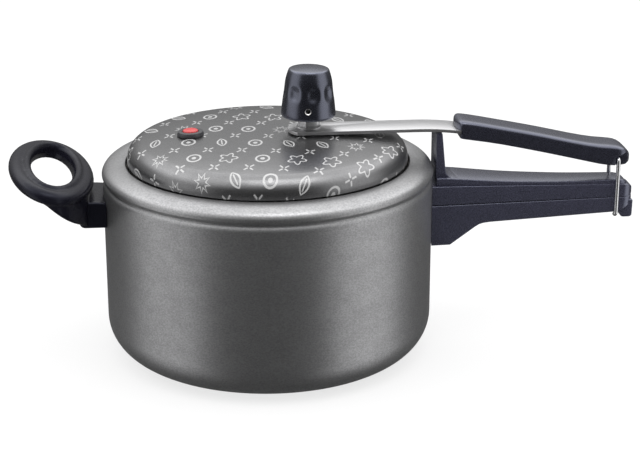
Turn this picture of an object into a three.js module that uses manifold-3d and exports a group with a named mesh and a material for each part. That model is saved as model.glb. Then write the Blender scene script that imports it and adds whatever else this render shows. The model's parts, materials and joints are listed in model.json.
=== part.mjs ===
// Stovetop pressure cooker with a lid that seals from inside and is held by a lever bar.
// Millimetres, +Z up. The origin is the centre of the pot's base, +X runs along the long handle.

import * as THREE from 'three';
import { mergeVertices } from 'three/addons/utils/BufferGeometryUtils.js';
import Module from 'manifold-3d';

const wasm = await Module();
wasm.setup();

// ---------------------------------------------------------------- driving dimensions

// Clearances
const FIT = 0.3;                 // between parts that are fastened or rest on each other
const HOLE_FIT = 0.3;            // radial play of a fastener or stem in its hole
const SEAL_FIT = 0.2;            // between the gasket and what it seals against

// Pot
const WALL_RADIUS = 110;
const WALL_THICKNESS = 3;
const BASE_THICKNESS = 4.5;
const CORNER_RADIUS = 26;
const SHOULDER_WIDTH = 15.6;     // from the wall in to the mouth, along the mouth's long axis (X)
const MOUTH_RATIO = 0.975;       // short axis over long axis, so the lid can be turned in
const LIP_HEIGHT = 130.1;
const LIP_THICKNESS = 3;
const SEAL_LAND = 5.2;           // width of the flat under the lip
const CROWN_OFFSET = 10.1;       // from the mouth's edge out to the top of the shoulder
const CROWN_RISE = 3.1;          // top of the shoulder above the lip
const BEAD_OVERHANG = 0.8;       // widest point of the shoulder outside the wall
const BEAD_DROP = 10.3;          // widest point below the top of the shoulder
const GROOVE_DEPTH = 0.7;        // groove under the shoulder, inside the wall's line
const GROOVE_DROP = 2.7;         // groove below the widest point
const BASE_RING_RADII = [44, 68];   // turned grooves in the base
const BASE_RING_WIDTH = 2.4;
const BASE_RING_DEPTH = 0.8;

// Lid
const LID_THICKNESS = 2;
const LID_GAP = 0.9;               // between the lid's wall and the mouth
const LID_RISE = 18.5;           // middle of the lid above the lip
const LID_SAG = 1.5;             // fall of the crown from its centre to the knee
const KNEE_RADIUS = 12.8;
const FLANGE_OVERLAP = 2.2;      // flange beyond the mouth's edge
const FLANGE_THICKNESS = 1.8;
const GASKET_THICKNESS = 4.2;
const GASKET_OVERLAP = 3.8;      // gasket beyond the mouth's edge

// Lever bar and the parts on the vent stem
const STEM_X = 27.5;
const STEM_RADIUS = 4;
const VENT_BORE_RADIUS = 1.25;
const STEM_REACH = 19.6;         // tip of the stem above the weight's lower edge
const STEM_NECK_RADIUS = 3;
const STEM_TAIL = 9;             // stem below the lid's inner face
const COLLAR_RADIUS = 7;
const COLLAR_THICKNESS = 2;
const SEAL_RADIUS = 8;
const SEAL_THICKNESS = 1.6;
const SPACER_RADIUS = 7;
const SPACER_HEIGHT = 1.2;
const BAR_THICKNESS = 2.2;
const BAR_WIDTH = 24;
const BAR_NOSE_RADIUS = 16;
const BAR_NOSE_REACH = 14;       // bar's rounded end beyond the stem's axis
const BEND_INSET = 10;           // the bar starts to bend down this far inside the wall
const BEND_LENGTH = 38;
const BEND_SLOPE = 0.19;
const TANG_WIDTH = 17;
const TANG_OFFSET = 18.5;        // start of the narrow tang, out from the wall
const TANG_LENGTH = 45.5;
const TANG_CORNER = 3;
const WASHER_RADIUS = 9;
const WASHER_THICKNESS = 1.2;
const NUT_FLATS = 13;
const NUT_HEIGHT = 5;
const FILTER_RADIUS = 8.5;
const FILTER_HEIGHT = 6;
const FILTER_WALL = 0.8;
const FILTER_SLOTS = 6;

// Pressure weight
const WEIGHT_CLEARANCE = 2.2;    // weight above the nut
const WEIGHT_HEIGHT = 31.2;
const WEIGHT_RADIUS = 18;
const WEIGHT_TOP_RADIUS = 12.7;
const WEIGHT_SKIN = 3;
const WEIGHT_ROOF = 5;
const CORE_RECESS = 2.4;         // metal core above the cap's mouth
const CORE_HEIGHT = 22.8;
const CORE_BORE_RADIUS = 4.6;
const CORE_CONE_DEPTH = 6.2;     // foot of the cone that seats on the stem, below its tip
const CORE_CONE_RISE = 1.6;
const STEAM_HOLE_RADIUS = 2.3;
const STEAM_HOLE_RISE = 6.6;
const STEAM_HOLES = 3;
const WEIGHT_TURN_DEG = -6;      // how the loose weight happens to stand
const FINGER_DIMPLES = 6;
const DIMPLE_RISE = 17.5;
const DIMPLE_DEPTH = 1.5;
const DIMPLE_WIDTH = 3.6;
const DIMPLE_HEIGHT = 8;

// Safety valve
const VALVE_X = -51;
const VALVE_Y = 2;
const VALVE_FLANGE_RADIUS = 9.75;
const VALVE_FLANGE_HEIGHT = 2.4;
const VALVE_NECK_RADIUS = 6.6;
const VALVE_BORE_RADIUS = 4.2;
const VALVE_FOOT_RADIUS = 8.8;
const VALVE_FOOT_HEIGHT = 2.2;
const BUTTON_RADIUS = 5.75;
const BUTTON_PROUD = 3.1;
const BUTTON_SHANK_RADIUS = 3.7;
const BUTTON_SEAT_DEPTH = 1.4;
const BUTTON_FOOT_RADIUS = 5.2;
const BUTTON_FOOT_HEIGHT = 1.8;
const BUTTON_TRAVEL = 3;

// Long body handle
const ROOT_DROP = 59.1;          // underside of the root below the lip, as the other drops are
const ROOT_REACH = 12;           // flat underside of the root, out from the wall
const KNEE_OFFSET = 33.5;        // out from the wall
const KNEE_DROP = 43.1;
const FOOT_DROP = 39.8;          // underside over the loop's feet
const ROOT_HALF_WIDTH = 16.8;
const TIP_HALF_WIDTH = 9.8;
const LEDGE_ROOT_DROP = 15.9;
const LEDGE_TIP_DROP = 20.6;
const TIP_OVERHANG = 12.9;       // beyond the loop's pivot
const TOP_RISE = 2;              // raised top face above the ledge
const TOP_ROOT_HALF_WIDTH = 13.2;
const TOP_TIP_HALF_WIDTH = 8.4;
const PARTING_DROP = 30.7;
const PARTING_WIDTH = 0.7;
const PARTING_DEPTH = 0.6;
const POST_OFFSET = 4.2;         // out from the wall
const POST_THICKNESS = 4;
const POST_FLARE = 2.4;          // extra thickness where the post meets the handle
const POST_HALF_WIDTH = 11;
const POST_CROWN_RADIUS = 10;
const NOSE_DROP = 44.4;
const NOSE_HALF_WIDTH = 7.2;
const NOSE_OFFSET = 4.5;         // beyond the loop's pivot

// Lid grip
const GRIP_OFFSET = 15.6;        // out from the wall
const GRIP_LENGTH = 121;
const GRIP_HALF_WIDTH = 13;
const GRIP_CROWN = 3.8;          // middle of the top face above its side edges
const GRIP_STEP = 2.6;           // lower half starts this far in from the rounded end
const GRIP_SCREW_OFFSETS = [17.5, 35.5];   // from the start of the tang
const GRIP_SCREW_SEAT = 2.9;     // head below the bar's middle plane
const GRIP_SCREW_HEAD = 2.5;
const GRIP_SCREW_TIP = 2.9;      // above the bar's middle plane

// Side view of the grip: share of its length, and height from the bar's middle plane
const GRIP_TOP_LINE = [
  [0, 3.938], [0.0612, 5.022], [0.2347, 4.95], [0.4661, 4.47], [0.6893, 3.4],
  [0.805, 3.46], [0.8959, 4.35], [0.9537, 3.88], [1, 0.944],
];
const GRIP_BOTTOM_LINE = [
  [0, -3.262], [0.0694, -3.41], [0.2347, -3.05], [0.4661, -3.83], [0.6893, -5.1],
  [0.805, -5.84], [0.8793, -5.53], [0.9455, -4.21], [1, -1.256],
];

// Locking loop
const LOOP_PIVOT_SETBACK = 9.6;  // in from the grip's end
const LOOP_PIVOT_SINK = 1.48;    // below the bar's middle plane
const LOOP_WIRE_RADIUS = 1.4;
const LOOP_HALF_SPACING = 11.6;
const LOOP_REST_FIT = 0.4;       // between the loop's feet and the handle over them
const LOOP_BEND_RADIUS = 2.6;
const LOOP_FOOT_INNER = 8.2;     // half distance between the turned-in feet
const LOOP_SWING_DEG = 110;

// Brackets, rivets and screws
const BRACKET_THICKNESS = 2;
const BRACKET_HALF_WIDTH = 13;
const BRACKET_LIFT = 5;          // above the root's underside
const BRACKET_COVER = 4.2;       // below the ledge
const TONGUE_HALF_WIDTH = 6;
const TONGUE_LIFT = 17;          // above the root's underside
const TONGUE_HEIGHT = 8;
const TONGUE_REACH = 16;
const RIVET_SPREAD = 9;
const RIVET_EDGE = 5.5;          // from the bracket's upper and lower edges
const RIVET_RADIUS = 2.4;
const RIVET_HEAD_RADIUS = 4.6;
const RIVET_HEAD_HEIGHT = 2;
const SCREW_RADIUS = 2.2;
const SCREW_HEAD_RADIUS = 4.4;
const SCREW_HEAD_HEIGHT = 2.6;
const SCREW_OFFSET = 9;          // screw axis out from the wall

// Helper handle opposite the long handle
const HELPER_OFFSET = 33.3;      // middle of the loop out from the wall
const HELPER_DROP = 4.3;
const LOOP_TILT_DEG = 17.1;
const LOOP_DEPTH = 21;           // centreline, from the middle out to the tip
const LOOP_BREADTH = 51.5;       // centreline, from the middle to either side
const LOOP_BAND_HALF = 7.5;
const LOOP_BAND_THICK = 5.8;
const NECK_HALF_WIDTH = 23;
const NECK_TOP_DROP = 18.7;
const NECK_BOTTOM_DROP = 36.1;
const NECK_REACH = 14;           // out from the wall
const HELPER_BRACKET_HALF_WIDTH = 16;
const HELPER_BRACKET_LIFT = 3.4; // above the neck's underside
const HELPER_BRACKET_COVER = 2.4;   // below the neck's top
const HELPER_TONGUE_LIFT = 6;    // above the neck's underside
const HELPER_TONGUE_HEIGHT = 6;
const HELPER_TONGUE_REACH = 12;
const HELPER_RIVET_SPREAD = 11;
const HELPER_SCREW_OFFSET = 7;

// Facets
const ROUND_SIDES = 48;
const SMALL_SIDES = 24;
const PIN_SIDES = 12;
const WELD = 1e-4;

// ---------------------------------------------------------------- derived dimensions

const MOUTH_RADIUS = WALL_RADIUS - SHOULDER_WIDTH;
const CROWN_RADIUS = MOUTH_RADIUS + CROWN_OFFSET;
const CROWN_Z = LIP_HEIGHT + CROWN_RISE;
const BEAD_RADIUS = WALL_RADIUS + BEAD_OVERHANG;
const BEAD_Z = CROWN_Z - BEAD_DROP;
const GROOVE_Z = BEAD_Z - GROOVE_DROP;
const SHOULDER_START_Z = GROOVE_Z - GROOVE_DROP;
const INNER_RADIUS = WALL_RADIUS - WALL_THICKNESS;
const LAND_Z = LIP_HEIGHT - LIP_THICKNESS;

const LID_WALL_RADIUS = MOUTH_RADIUS - LID_GAP;
const KNEE_CENTRE_R = LID_WALL_RADIUS - KNEE_RADIUS;
const LID_APEX = LIP_HEIGHT + LID_RISE;
const KNEE_TOP_Z = LID_APEX - LID_SAG;
const FLANGE_RADIUS = MOUTH_RADIUS + FLANGE_OVERLAP;
const GASKET_RADIUS = MOUTH_RADIUS + GASKET_OVERLAP;
const FLANGE_TOP = LAND_Z - 2 * SEAL_FIT - GASKET_THICKNESS;

const LID_INNER_APEX = LID_APEX - LID_THICKNESS;
const BAR_BOTTOM = LID_APEX + SPACER_HEIGHT;
const BAR_TOP = BAR_BOTTOM + BAR_THICKNESS;
const LEVER_SHEET_Z = (BAR_TOP + BAR_BOTTOM) / 2;
const BEND_X = WALL_RADIUS - BEND_INSET;
const BEND_END_X = BEND_X + BEND_LENGTH;
const TANG_START_X = WALL_RADIUS + TANG_OFFSET;
const TANG_END_X = TANG_START_X + TANG_LENGTH;
const GRIP_SCREW_X = GRIP_SCREW_OFFSETS.map((offset) => TANG_START_X + offset);
const WEIGHT_BOTTOM = BAR_TOP + WASHER_THICKNESS + NUT_HEIGHT + WEIGHT_CLEARANCE;
const STEM_TOP = WEIGHT_BOTTOM + STEM_REACH;

/** How far the bar's middle plane has sunk below its straight part at a distance along X. */
function barDrop(x) {
  if (x <= BEND_X) return 0;
  if (x <= BEND_END_X) return (BEND_SLOPE * (x - BEND_X) ** 2) / (2 * BEND_LENGTH);
  return (BEND_SLOPE * BEND_LENGTH) / 2 + BEND_SLOPE * (x - BEND_END_X);
}

const GRIP_START_X = WALL_RADIUS + GRIP_OFFSET;
const GRIP_END_X = GRIP_START_X + GRIP_LENGTH;
const LOOP_PIVOT_X = GRIP_END_X - LOOP_PIVOT_SETBACK;
const LOOP_PIVOT_Z = LEVER_SHEET_Z - barDrop(LOOP_PIVOT_X) - LOOP_PIVOT_SINK;
const FOOT_Z = LIP_HEIGHT - FOOT_DROP;
const LOOP_BOTTOM = FOOT_Z - LOOP_REST_FIT - LOOP_WIRE_RADIUS;

const ROOT_BOTTOM = LIP_HEIGHT - ROOT_DROP;
const KNEE_X = WALL_RADIUS + KNEE_OFFSET;
const KNEE_Z = LIP_HEIGHT - KNEE_DROP;
const LEDGE_ROOT_Z = LIP_HEIGHT - LEDGE_ROOT_DROP;
const LEDGE_TIP_Z = LIP_HEIGHT - LEDGE_TIP_DROP;
const PARTING_Z = LIP_HEIGHT - PARTING_DROP;
const HANDLE_TIP_X = LOOP_PIVOT_X + TIP_OVERHANG;
const POST_X = WALL_RADIUS + POST_OFFSET;
const NOSE_X = LOOP_PIVOT_X + NOSE_OFFSET;
const NOSE_BOTTOM = LIP_HEIGHT - NOSE_DROP;
const BRACKET_BOTTOM = ROOT_BOTTOM + BRACKET_LIFT;
const BRACKET_TOP = LEDGE_ROOT_Z - BRACKET_COVER;
const TONGUE_BOTTOM = ROOT_BOTTOM + TONGUE_LIFT;
const TONGUE_TOP = TONGUE_BOTTOM + TONGUE_HEIGHT;
const RIVET_HEIGHTS = [BRACKET_BOTTOM + RIVET_EDGE, BRACKET_TOP - RIVET_EDGE];

const LOOP_CENTRE_X = -(WALL_RADIUS + HELPER_OFFSET);
const LOOP_CENTRE_Z = LIP_HEIGHT - HELPER_DROP;
const NECK_TOP = LIP_HEIGHT - NECK_TOP_DROP;
const NECK_BOTTOM = LIP_HEIGHT - NECK_BOTTOM_DROP;
const NECK_END_X = -(WALL_RADIUS + NECK_REACH);
const HELPER_BRACKET_BOTTOM = NECK_BOTTOM + HELPER_BRACKET_LIFT;
const HELPER_BRACKET_TOP = NECK_TOP - HELPER_BRACKET_COVER;
const HELPER_TONGUE_BOTTOM = NECK_BOTTOM + HELPER_TONGUE_LIFT;
const HELPER_TONGUE_TOP = HELPER_TONGUE_BOTTOM + HELPER_TONGUE_HEIGHT;

/** Height of the lid's outer face over the crown at a plan radius. */
const crownHeight = (radius) => LID_APEX - LID_SAG * (radius / KNEE_CENTRE_R) ** 2;

const COLLAR_TOP = crownHeight(STEM_X + SEAL_RADIUS) - LID_THICKNESS - SEAL_FIT - SEAL_THICKNESS;

const THIRD_TURN = (2 * Math.PI) / 3;

// ---------------------------------------------------------------- solids and shapes

const vec2 = (x, y) => new THREE.Vector2(x, y);
const vec3 = (x, y, z) => new THREE.Vector3(x, y, z);

/** Six times the signed volume of a triangle list; negative when its faces point inwards. */
function signedVolume(position, triangles) {
  let total = 0;
  const [a, b, c] = [vec3(0, 0, 0), vec3(0, 0, 0), vec3(0, 0, 0)];
  for (let i = 0; i < triangles.length; i += 3) {
    a.fromArray(position, 3 * triangles[i]);
    b.fromArray(position, 3 * triangles[i + 1]);
    c.fromArray(position, 3 * triangles[i + 2]);
    total += a.dot(b.cross(c));
  }
  return total;
}

/** Turns a closed geometry into a solid whose faces point outwards. */
function solid(geometry) {
  const source = geometry.clone();
  source.deleteAttribute('normal');
  source.deleteAttribute('uv');
  const merged = mergeVertices(source, WELD);
  const position = merged.attributes.position.array;
  const index = merged.index.array;
  const triangles = [];
  for (let i = 0; i < index.length; i += 3) {
    const [a, b, c] = [index[i], index[i + 1], index[i + 2]];
    if (a !== b && b !== c && c !== a) triangles.push(a, b, c);
  }
  if (signedVolume(position, triangles) < 0) triangles.reverse();
  const mesh = new wasm.Mesh({
    numProp: 3,
    vertProperties: Float32Array.from(position),
    triVerts: Uint32Array.from(triangles),
  });
  return new wasm.Manifold(mesh);
}

const join = (first, ...others) => others.reduce((sum, other) => sum.add(other), first);
const cut = (first, ...others) => others.reduce((rest, other) => rest.subtract(other), first);
const common = (first, ...others) => others.reduce((rest, other) => rest.intersect(other), first);

/** The solid's surface as a geometry that a mesh can carry. */
function surfaceOf(body) {
  const mesh = body.getMesh();
  const geometry = new THREE.BufferGeometry();
  geometry.setAttribute('position', new THREE.BufferAttribute(Float32Array.from(mesh.vertProperties), 3));
  geometry.setIndex(new THREE.BufferAttribute(Uint32Array.from(mesh.triVerts), 1));
  geometry.computeVertexNormals();
  return geometry;
}

/** Points along an elliptical arc, angles in degrees. */
function arc(centreX, centreY, radiusX, radiusY, fromDeg, toDeg, steps) {
  const points = [];
  for (let i = 0; i <= steps; i += 1) {
    const angle = THREE.MathUtils.degToRad(fromDeg + ((toDeg - fromDeg) * i) / steps);
    points.push(vec2(centreX + radiusX * Math.cos(angle), centreY + radiusY * Math.sin(angle)));
  }
  return points;
}

/** Revolves an (r, z) profile about the Z axis. */
function revolveGeometry(profile, sides = ROUND_SIDES) {
  return new THREE.LatheGeometry(profile, sides).rotateX(Math.PI / 2);
}

const revolve = (profile, sides) => solid(revolveGeometry(profile, sides));

/** A disc or drum about the Z axis at (x, y). */
function drum(radius, bottom, top, sides = SMALL_SIDES, x = 0, y = 0) {
  const profile = [vec2(0, bottom), vec2(radius, bottom), vec2(radius, top), vec2(0, top)];
  return solid(revolveGeometry(profile, sides).translate(x, y, 0));
}

/** A flat ring about the Z axis at (x, y). */
function ring(inner, outer, bottom, top, sides = SMALL_SIDES, x = 0, y = 0) {
  const profile = [
    vec2(inner, bottom), vec2(outer, bottom), vec2(outer, top), vec2(inner, top), vec2(inner, bottom),
  ];
  return solid(revolveGeometry(profile, sides).translate(x, y, 0));
}

/** A round bar between two points. */
function rod(radius, from, to, sides = PIN_SIDES) {
  const axis = to.clone().sub(from);
  const geometry = new THREE.CylinderGeometry(radius, radius, axis.length(), sides);
  const turn = new THREE.Quaternion().setFromUnitVectors(vec3(0, 1, 0), axis.clone().normalize());
  geometry.applyQuaternion(turn);
  geometry.translate((from.x + to.x) / 2, (from.y + to.y) / 2, (from.z + to.z) / 2);
  return solid(geometry);
}

/** An upright block given by its lowest and highest corners. */
function block(x0, x1, y0, y1, z0, z1) {
  const geometry = new THREE.BoxGeometry(x1 - x0, y1 - y0, z1 - z0);
  return solid(geometry.translate((x0 + x1) / 2, (y0 + y1) / 2, (z0 + z1) / 2));
}

/** Extrudes a side view, drawn in X and Z, from y0 to y1. */
function fromSide(shape, y0, y1, curveSegments = 8) {
  const geometry = new THREE.ExtrudeGeometry(shape, { depth: y1 - y0, bevelEnabled: false, curveSegments });
  return solid(geometry.rotateX(Math.PI / 2).translate(0, y1, 0));
}

/** Extrudes a plan view, drawn in X and Y, from z0 to z1. */
function fromAbove(shape, z0, z1, curveSegments = 10) {
  const geometry = new THREE.ExtrudeGeometry(shape, { depth: z1 - z0, bevelEnabled: false, curveSegments });
  return solid(geometry.translate(0, 0, z0));
}

/** Skins a row of closed sections that all have the same number of points, and caps both ends. */
function loft(sections, closedRow = false) {
  const count = sections[0].length;
  const vertices = sections.flat().flatMap((point) => [point.x, point.y, point.z]);
  const faces = [];
  const rows = closedRow ? sections.length : sections.length - 1;
  for (let row = 0; row < rows; row += 1) {
    const next = ((row + 1) % sections.length) * count;
    for (let i = 0; i < count; i += 1) {
      const [a, b] = [row * count + i, row * count + ((i + 1) % count)];
      const [c, d] = [next + ((i + 1) % count), next + i];
      faces.push(a, b, c, a, c, d);
    }
  }
  if (!closedRow) {
    const last = (sections.length - 1) * count;
    for (let i = 1; i < count - 1; i += 1) {
      faces.push(0, i + 1, i, last, last + i, last + i + 1);
    }
  }
  const geometry = new THREE.BufferGeometry();
  geometry.setAttribute('position', new THREE.Float32BufferAttribute(vertices, 3));
  geometry.setIndex(faces);
  return solid(geometry);
}

/** A plan or side outline through its corner points. */
const outline = (points) => new THREE.Shape(points.map(([x, y]) => vec2(x, y)));

/** The same points again, mirrored across the long axis and walked backwards. */
const mirrored = (points) => points.concat(points.map(([x, y]) => [x, -y]).reverse());

/** Linear value between two stations. */
const between = (x, x0, x1, v0, v1) => THREE.MathUtils.mapLinear(x, x0, x1, v0, v1);

// ---------------------------------------------------------------- materials

const finish = (color, roughness, metalness) => new THREE.MeshStandardMaterial({ color, roughness, metalness });
const coatedAluminium = finish(0x68686a, 0.45, 0.6);
const coatedLid = finish(0x6b6b6c, 0.35, 0.5);
const bakelite = finish(0x22232c, 0.4, 0);
const weightBakelite = finish(0x2a2b31, 0.35, 0);
const brushedSteel = finish(0xd6d6d8, 0.3, 1);
const plainSteel = finish(0xb9babd, 0.35, 1);
const brass = finish(0xc9b583, 0.35, 1);
const siliconeSeal = finish(0xd9d7d2, 0.6, 0);
const darkRubber = finish(0x3b3b3e, 0.7, 0);
const redSilicone = finish(0xe23b3b, 0.45, 0);

const cooker = new THREE.Group();

/** Adds a finished solid to the scene graph under its name. */
function addPart(name, body, material, parent = cooker) {
  const mesh = new THREE.Mesh(surfaceOf(body), material);
  mesh.name = name;
  parent.add(mesh);
  return mesh;
}

// ---------------------------------------------------------------- pot

/** Closes the round shoulder in to the oval mouth by drawing it together along Y. */
function ovalise(geometry) {
  const position = geometry.attributes.position;
  for (let i = 0; i < position.count; i += 1) {
    const radius = Math.hypot(position.getX(i), position.getY(i));
    if (position.getZ(i) < SHOULDER_START_Z) continue;
    const share = THREE.MathUtils.smoothstep(WALL_RADIUS - radius, 0, WALL_RADIUS - MOUTH_RADIUS);
    position.setY(i, position.getY(i) * (1 - (1 - MOUTH_RATIO) * share));
  }
  return geometry;
}

/** A shallow turned groove in the base, walked outwards. */
function baseRing(radius) {
  const half = BASE_RING_WIDTH / 2;
  const bevel = BASE_RING_DEPTH / 2;
  return [
    vec2(radius - half, 0), vec2(radius - half + bevel, BASE_RING_DEPTH),
    vec2(radius + half - bevel, BASE_RING_DEPTH), vec2(radius + half, 0),
  ];
}

function potProfile() {
  const innerCorner = CORNER_RADIUS - WALL_THICKNESS;
  const lipRound = LIP_THICKNESS / 2;
  const landEnd = MOUTH_RADIUS + lipRound + SEAL_LAND;
  const innerCrownZ = CROWN_Z - LIP_THICKNESS;
  return [
    vec2(0, 0),
    ...BASE_RING_RADII.flatMap(baseRing),
    ...arc(WALL_RADIUS - CORNER_RADIUS, CORNER_RADIUS, CORNER_RADIUS, CORNER_RADIUS, -90, 0, 6),
    vec2(WALL_RADIUS, SHOULDER_START_Z),
    vec2(WALL_RADIUS - GROOVE_DEPTH * 0.7, GROOVE_Z - GROOVE_DROP * 0.4),
    vec2(WALL_RADIUS - GROOVE_DEPTH, GROOVE_Z),
    vec2(WALL_RADIUS + BEAD_OVERHANG * 0.6, BEAD_Z - GROOVE_DROP * 0.4),
    ...arc(CROWN_RADIUS, BEAD_Z, BEAD_RADIUS - CROWN_RADIUS, BEAD_DROP, 0, 90, 6),
    vec2(MOUTH_RADIUS + 0.6 * CROWN_OFFSET, CROWN_Z - 0.12 * CROWN_RISE),
    vec2(MOUTH_RADIUS + 0.3 * CROWN_OFFSET, LIP_HEIGHT + 0.4 * CROWN_RISE),
    ...arc(MOUTH_RADIUS + lipRound, LAND_Z + lipRound, lipRound, lipRound, 110, 270, 3),
    vec2(landEnd, LAND_Z),
    vec2(CROWN_RADIUS, innerCrownZ),
    ...arc(CROWN_RADIUS, BEAD_Z, INNER_RADIUS - CROWN_RADIUS, innerCrownZ - BEAD_Z, 55, 0, 2),
    ...arc(INNER_RADIUS - innerCorner, BASE_THICKNESS + innerCorner, innerCorner, innerCorner, 0, -90, 5),
    vec2(0, BASE_THICKNESS),
  ];
}

/** Hole through the wall, and its rivet's axis, at a height and a sideways offset. */
function radialAxis(side, spread, height) {
  const angle = Math.asin(spread / WALL_RADIUS);
  return vec3(side * Math.cos(angle), Math.sin(angle), 0).setZ(height);
}

function radialRod(radius, axis, from, to) {
  const start = vec3(axis.x * from, axis.y * from, axis.z);
  const end = vec3(axis.x * to, axis.y * to, axis.z);
  return rod(radius, start, end);
}

const HANDLE_RIVET_AXES = RIVET_HEIGHTS.flatMap((height) => [
  radialAxis(1, -RIVET_SPREAD, height), radialAxis(1, RIVET_SPREAD, height),
]);
const HELPER_RIVET_HEIGHT = (HELPER_BRACKET_BOTTOM + HELPER_BRACKET_TOP) / 2;
const HELPER_RIVET_AXES = [-HELPER_RIVET_SPREAD, HELPER_RIVET_SPREAD].map((spread) => (
  radialAxis(-1, spread, HELPER_RIVET_HEIGHT)
));

function makePot() {
  const shell = solid(ovalise(revolveGeometry(potProfile())));
  const holeRadius = RIVET_RADIUS + HOLE_FIT;
  const holes = [...HANDLE_RIVET_AXES, ...HELPER_RIVET_AXES].map((axis) => (
    radialRod(holeRadius, axis, INNER_RADIUS - CORNER_RADIUS, BEAD_RADIUS + CORNER_RADIUS)
  ));
  addPart('pot_body', cut(shell, ...holes), coatedAluminium);
}

/** What the pot takes up, with clearance, for cutting the parts that sit against its wall. */
function potClearance() {
  return join(
    drum(WALL_RADIUS + FIT, -WALL_RADIUS, SHOULDER_START_Z, ROUND_SIDES),
    drum(BEAD_RADIUS + FIT, SHOULDER_START_Z - FIT, CROWN_Z + FIT, ROUND_SIDES),
  );
}

// ---------------------------------------------------------------- brackets, rivets, screws

/** A steel plate bent to the wall, with a tongue that the handle is screwed to. */
function bracket(side, halfWidth, bottom, top, tongueBottom, tongueTop, reach, screwOffset, axes) {
  const inner = WALL_RADIUS + FIT;
  const outer = inner + BRACKET_THICKNESS;
  const shellRing = ring(inner, outer, bottom, top, ROUND_SIDES);
  const [near, far] = side > 0 ? [0, outer] : [-outer, 0];
  const plate = common(shellRing, block(near, far, -halfWidth, halfWidth, bottom, top));
  const start = inner + BRACKET_THICKNESS / 2;
  const end = inner + reach;
  const [x0, x1] = side > 0 ? [start, end] : [-end, -start];
  const tongue = block(x0, x1, -TONGUE_HALF_WIDTH, TONGUE_HALF_WIDTH, tongueBottom, tongueTop);
  const screwX = side * (inner + screwOffset);
  const screwHole = drum(SCREW_RADIUS + HOLE_FIT, tongueBottom - 1, tongueTop + 1, PIN_SIDES, screwX);
  const rivetHoles = axes.map((axis) => radialRod(RIVET_RADIUS + HOLE_FIT, axis, inner - 2, outer + 2));
  return cut(join(plate, tongue), screwHole, ...rivetHoles);
}

/** The hollow in a handle root that takes a bracket, its rivet heads and its screw. */
function bracketPocket(side, halfWidth, bottom, top, tongueBottom, tongueTop, reach, axes) {
  const inner = WALL_RADIUS + FIT;
  const outer = inner + BRACKET_THICKNESS + FIT;
  const pocketRing = ring(INNER_RADIUS, outer, bottom - FIT, top + FIT, ROUND_SIDES);
  const [near, far] = side > 0 ? [0, outer] : [-outer, 0];
  const wide = halfWidth + FIT;
  const plate = common(pocketRing, block(near, far, -wide, wide, bottom - FIT, top + FIT));
  const end = inner + reach + FIT;
  const [x0, x1] = side > 0 ? [inner, end] : [-end, -inner];
  const slot = TONGUE_HALF_WIDTH + FIT;
  const tongue = block(x0, x1, -slot, slot, tongueBottom - FIT, tongueTop + FIT);
  const headEnd = outer + RIVET_HEAD_HEIGHT + 2 * FIT;
  const heads = axes.map((axis) => radialRod(RIVET_HEAD_RADIUS + FIT, axis, inner, headEnd));
  return join(plate, tongue, ...heads);
}

/** A rivet along the pot's radius: a domed head inside, its shank, and the head closed outside. */
function rivet(axis) {
  const seat = INNER_RADIUS - FIT - 0.15;
  const outer = WALL_RADIUS + BRACKET_THICKNESS + 2 * FIT;
  const dome = (base, apex, steps) => (
    arc(0, base, RIVET_HEAD_RADIUS, apex - base, 90, 0, steps)
  );
  const profile = [
    ...dome(seat, seat - RIVET_HEAD_HEIGHT, 3),
    vec2(RIVET_RADIUS, seat),
    vec2(RIVET_RADIUS, outer),
    ...dome(outer, outer + RIVET_HEAD_HEIGHT, 3).reverse(),
  ];
  const geometry = revolveGeometry(profile, PIN_SIDES);
  const direction = vec3(axis.x, axis.y, 0);
  geometry.applyQuaternion(new THREE.Quaternion().setFromUnitVectors(vec3(0, 0, 1), direction));
  return solid(geometry.translate(0, 0, axis.z));
}

/** A screw from below: head at the bottom in its counterbore, shank up to the given height. */
function screwFromBelow(x, headBottom, tip) {
  const neck = headBottom + SCREW_HEAD_HEIGHT;
  const profile = [
    vec2(0, headBottom), vec2(SCREW_HEAD_RADIUS * 0.8, headBottom), vec2(SCREW_HEAD_RADIUS, headBottom + 0.8),
    vec2(SCREW_HEAD_RADIUS, neck), vec2(SCREW_RADIUS, neck), vec2(SCREW_RADIUS, tip - 1),
    vec2(SCREW_RADIUS * 0.6, tip), vec2(0, tip),
  ];
  return solid(revolveGeometry(profile, PIN_SIDES).translate(x, 0, 0));
}

/** The counterbore and clearance hole for a screw from below. */
function screwHoleFromBelow(x, under, headBottom, tip) {
  const headRoom = headBottom + SCREW_HEAD_HEIGHT + FIT;
  return join(
    drum(SCREW_HEAD_RADIUS + HOLE_FIT, under, headRoom, PIN_SIDES, x),
    drum(SCREW_RADIUS + HOLE_FIT, headRoom - 1, tip + FIT, PIN_SIDES, x),
  );
}

// ---------------------------------------------------------------- long body handle

/** Half the handle's width at a distance along it, from its root to its straight end. */
const handleHalfWidth = (x) => between(x, WALL_RADIUS, LOOP_PIVOT_X, ROOT_HALF_WIDTH, TIP_HALF_WIDTH);

function handlePlan(inset = 0) {
  const endDepth = 8;
  const straightEnd = HANDLE_TIP_X - endDepth;
  const shape = new THREE.Shape();
  shape.moveTo(CROWN_RADIUS, -handleHalfWidth(WALL_RADIUS) + inset);
  shape.lineTo(LOOP_PIVOT_X, -TIP_HALF_WIDTH + inset);
  shape.lineTo(straightEnd, -TIP_HALF_WIDTH + inset);
  shape.absellipse(straightEnd, 0, endDepth - inset, TIP_HALF_WIDTH - inset, -Math.PI / 2, Math.PI / 2, false);
  shape.lineTo(LOOP_PIVOT_X, TIP_HALF_WIDTH - inset);
  shape.lineTo(CROWN_RADIUS, handleHalfWidth(WALL_RADIUS) - inset);
  return shape;
}

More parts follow.
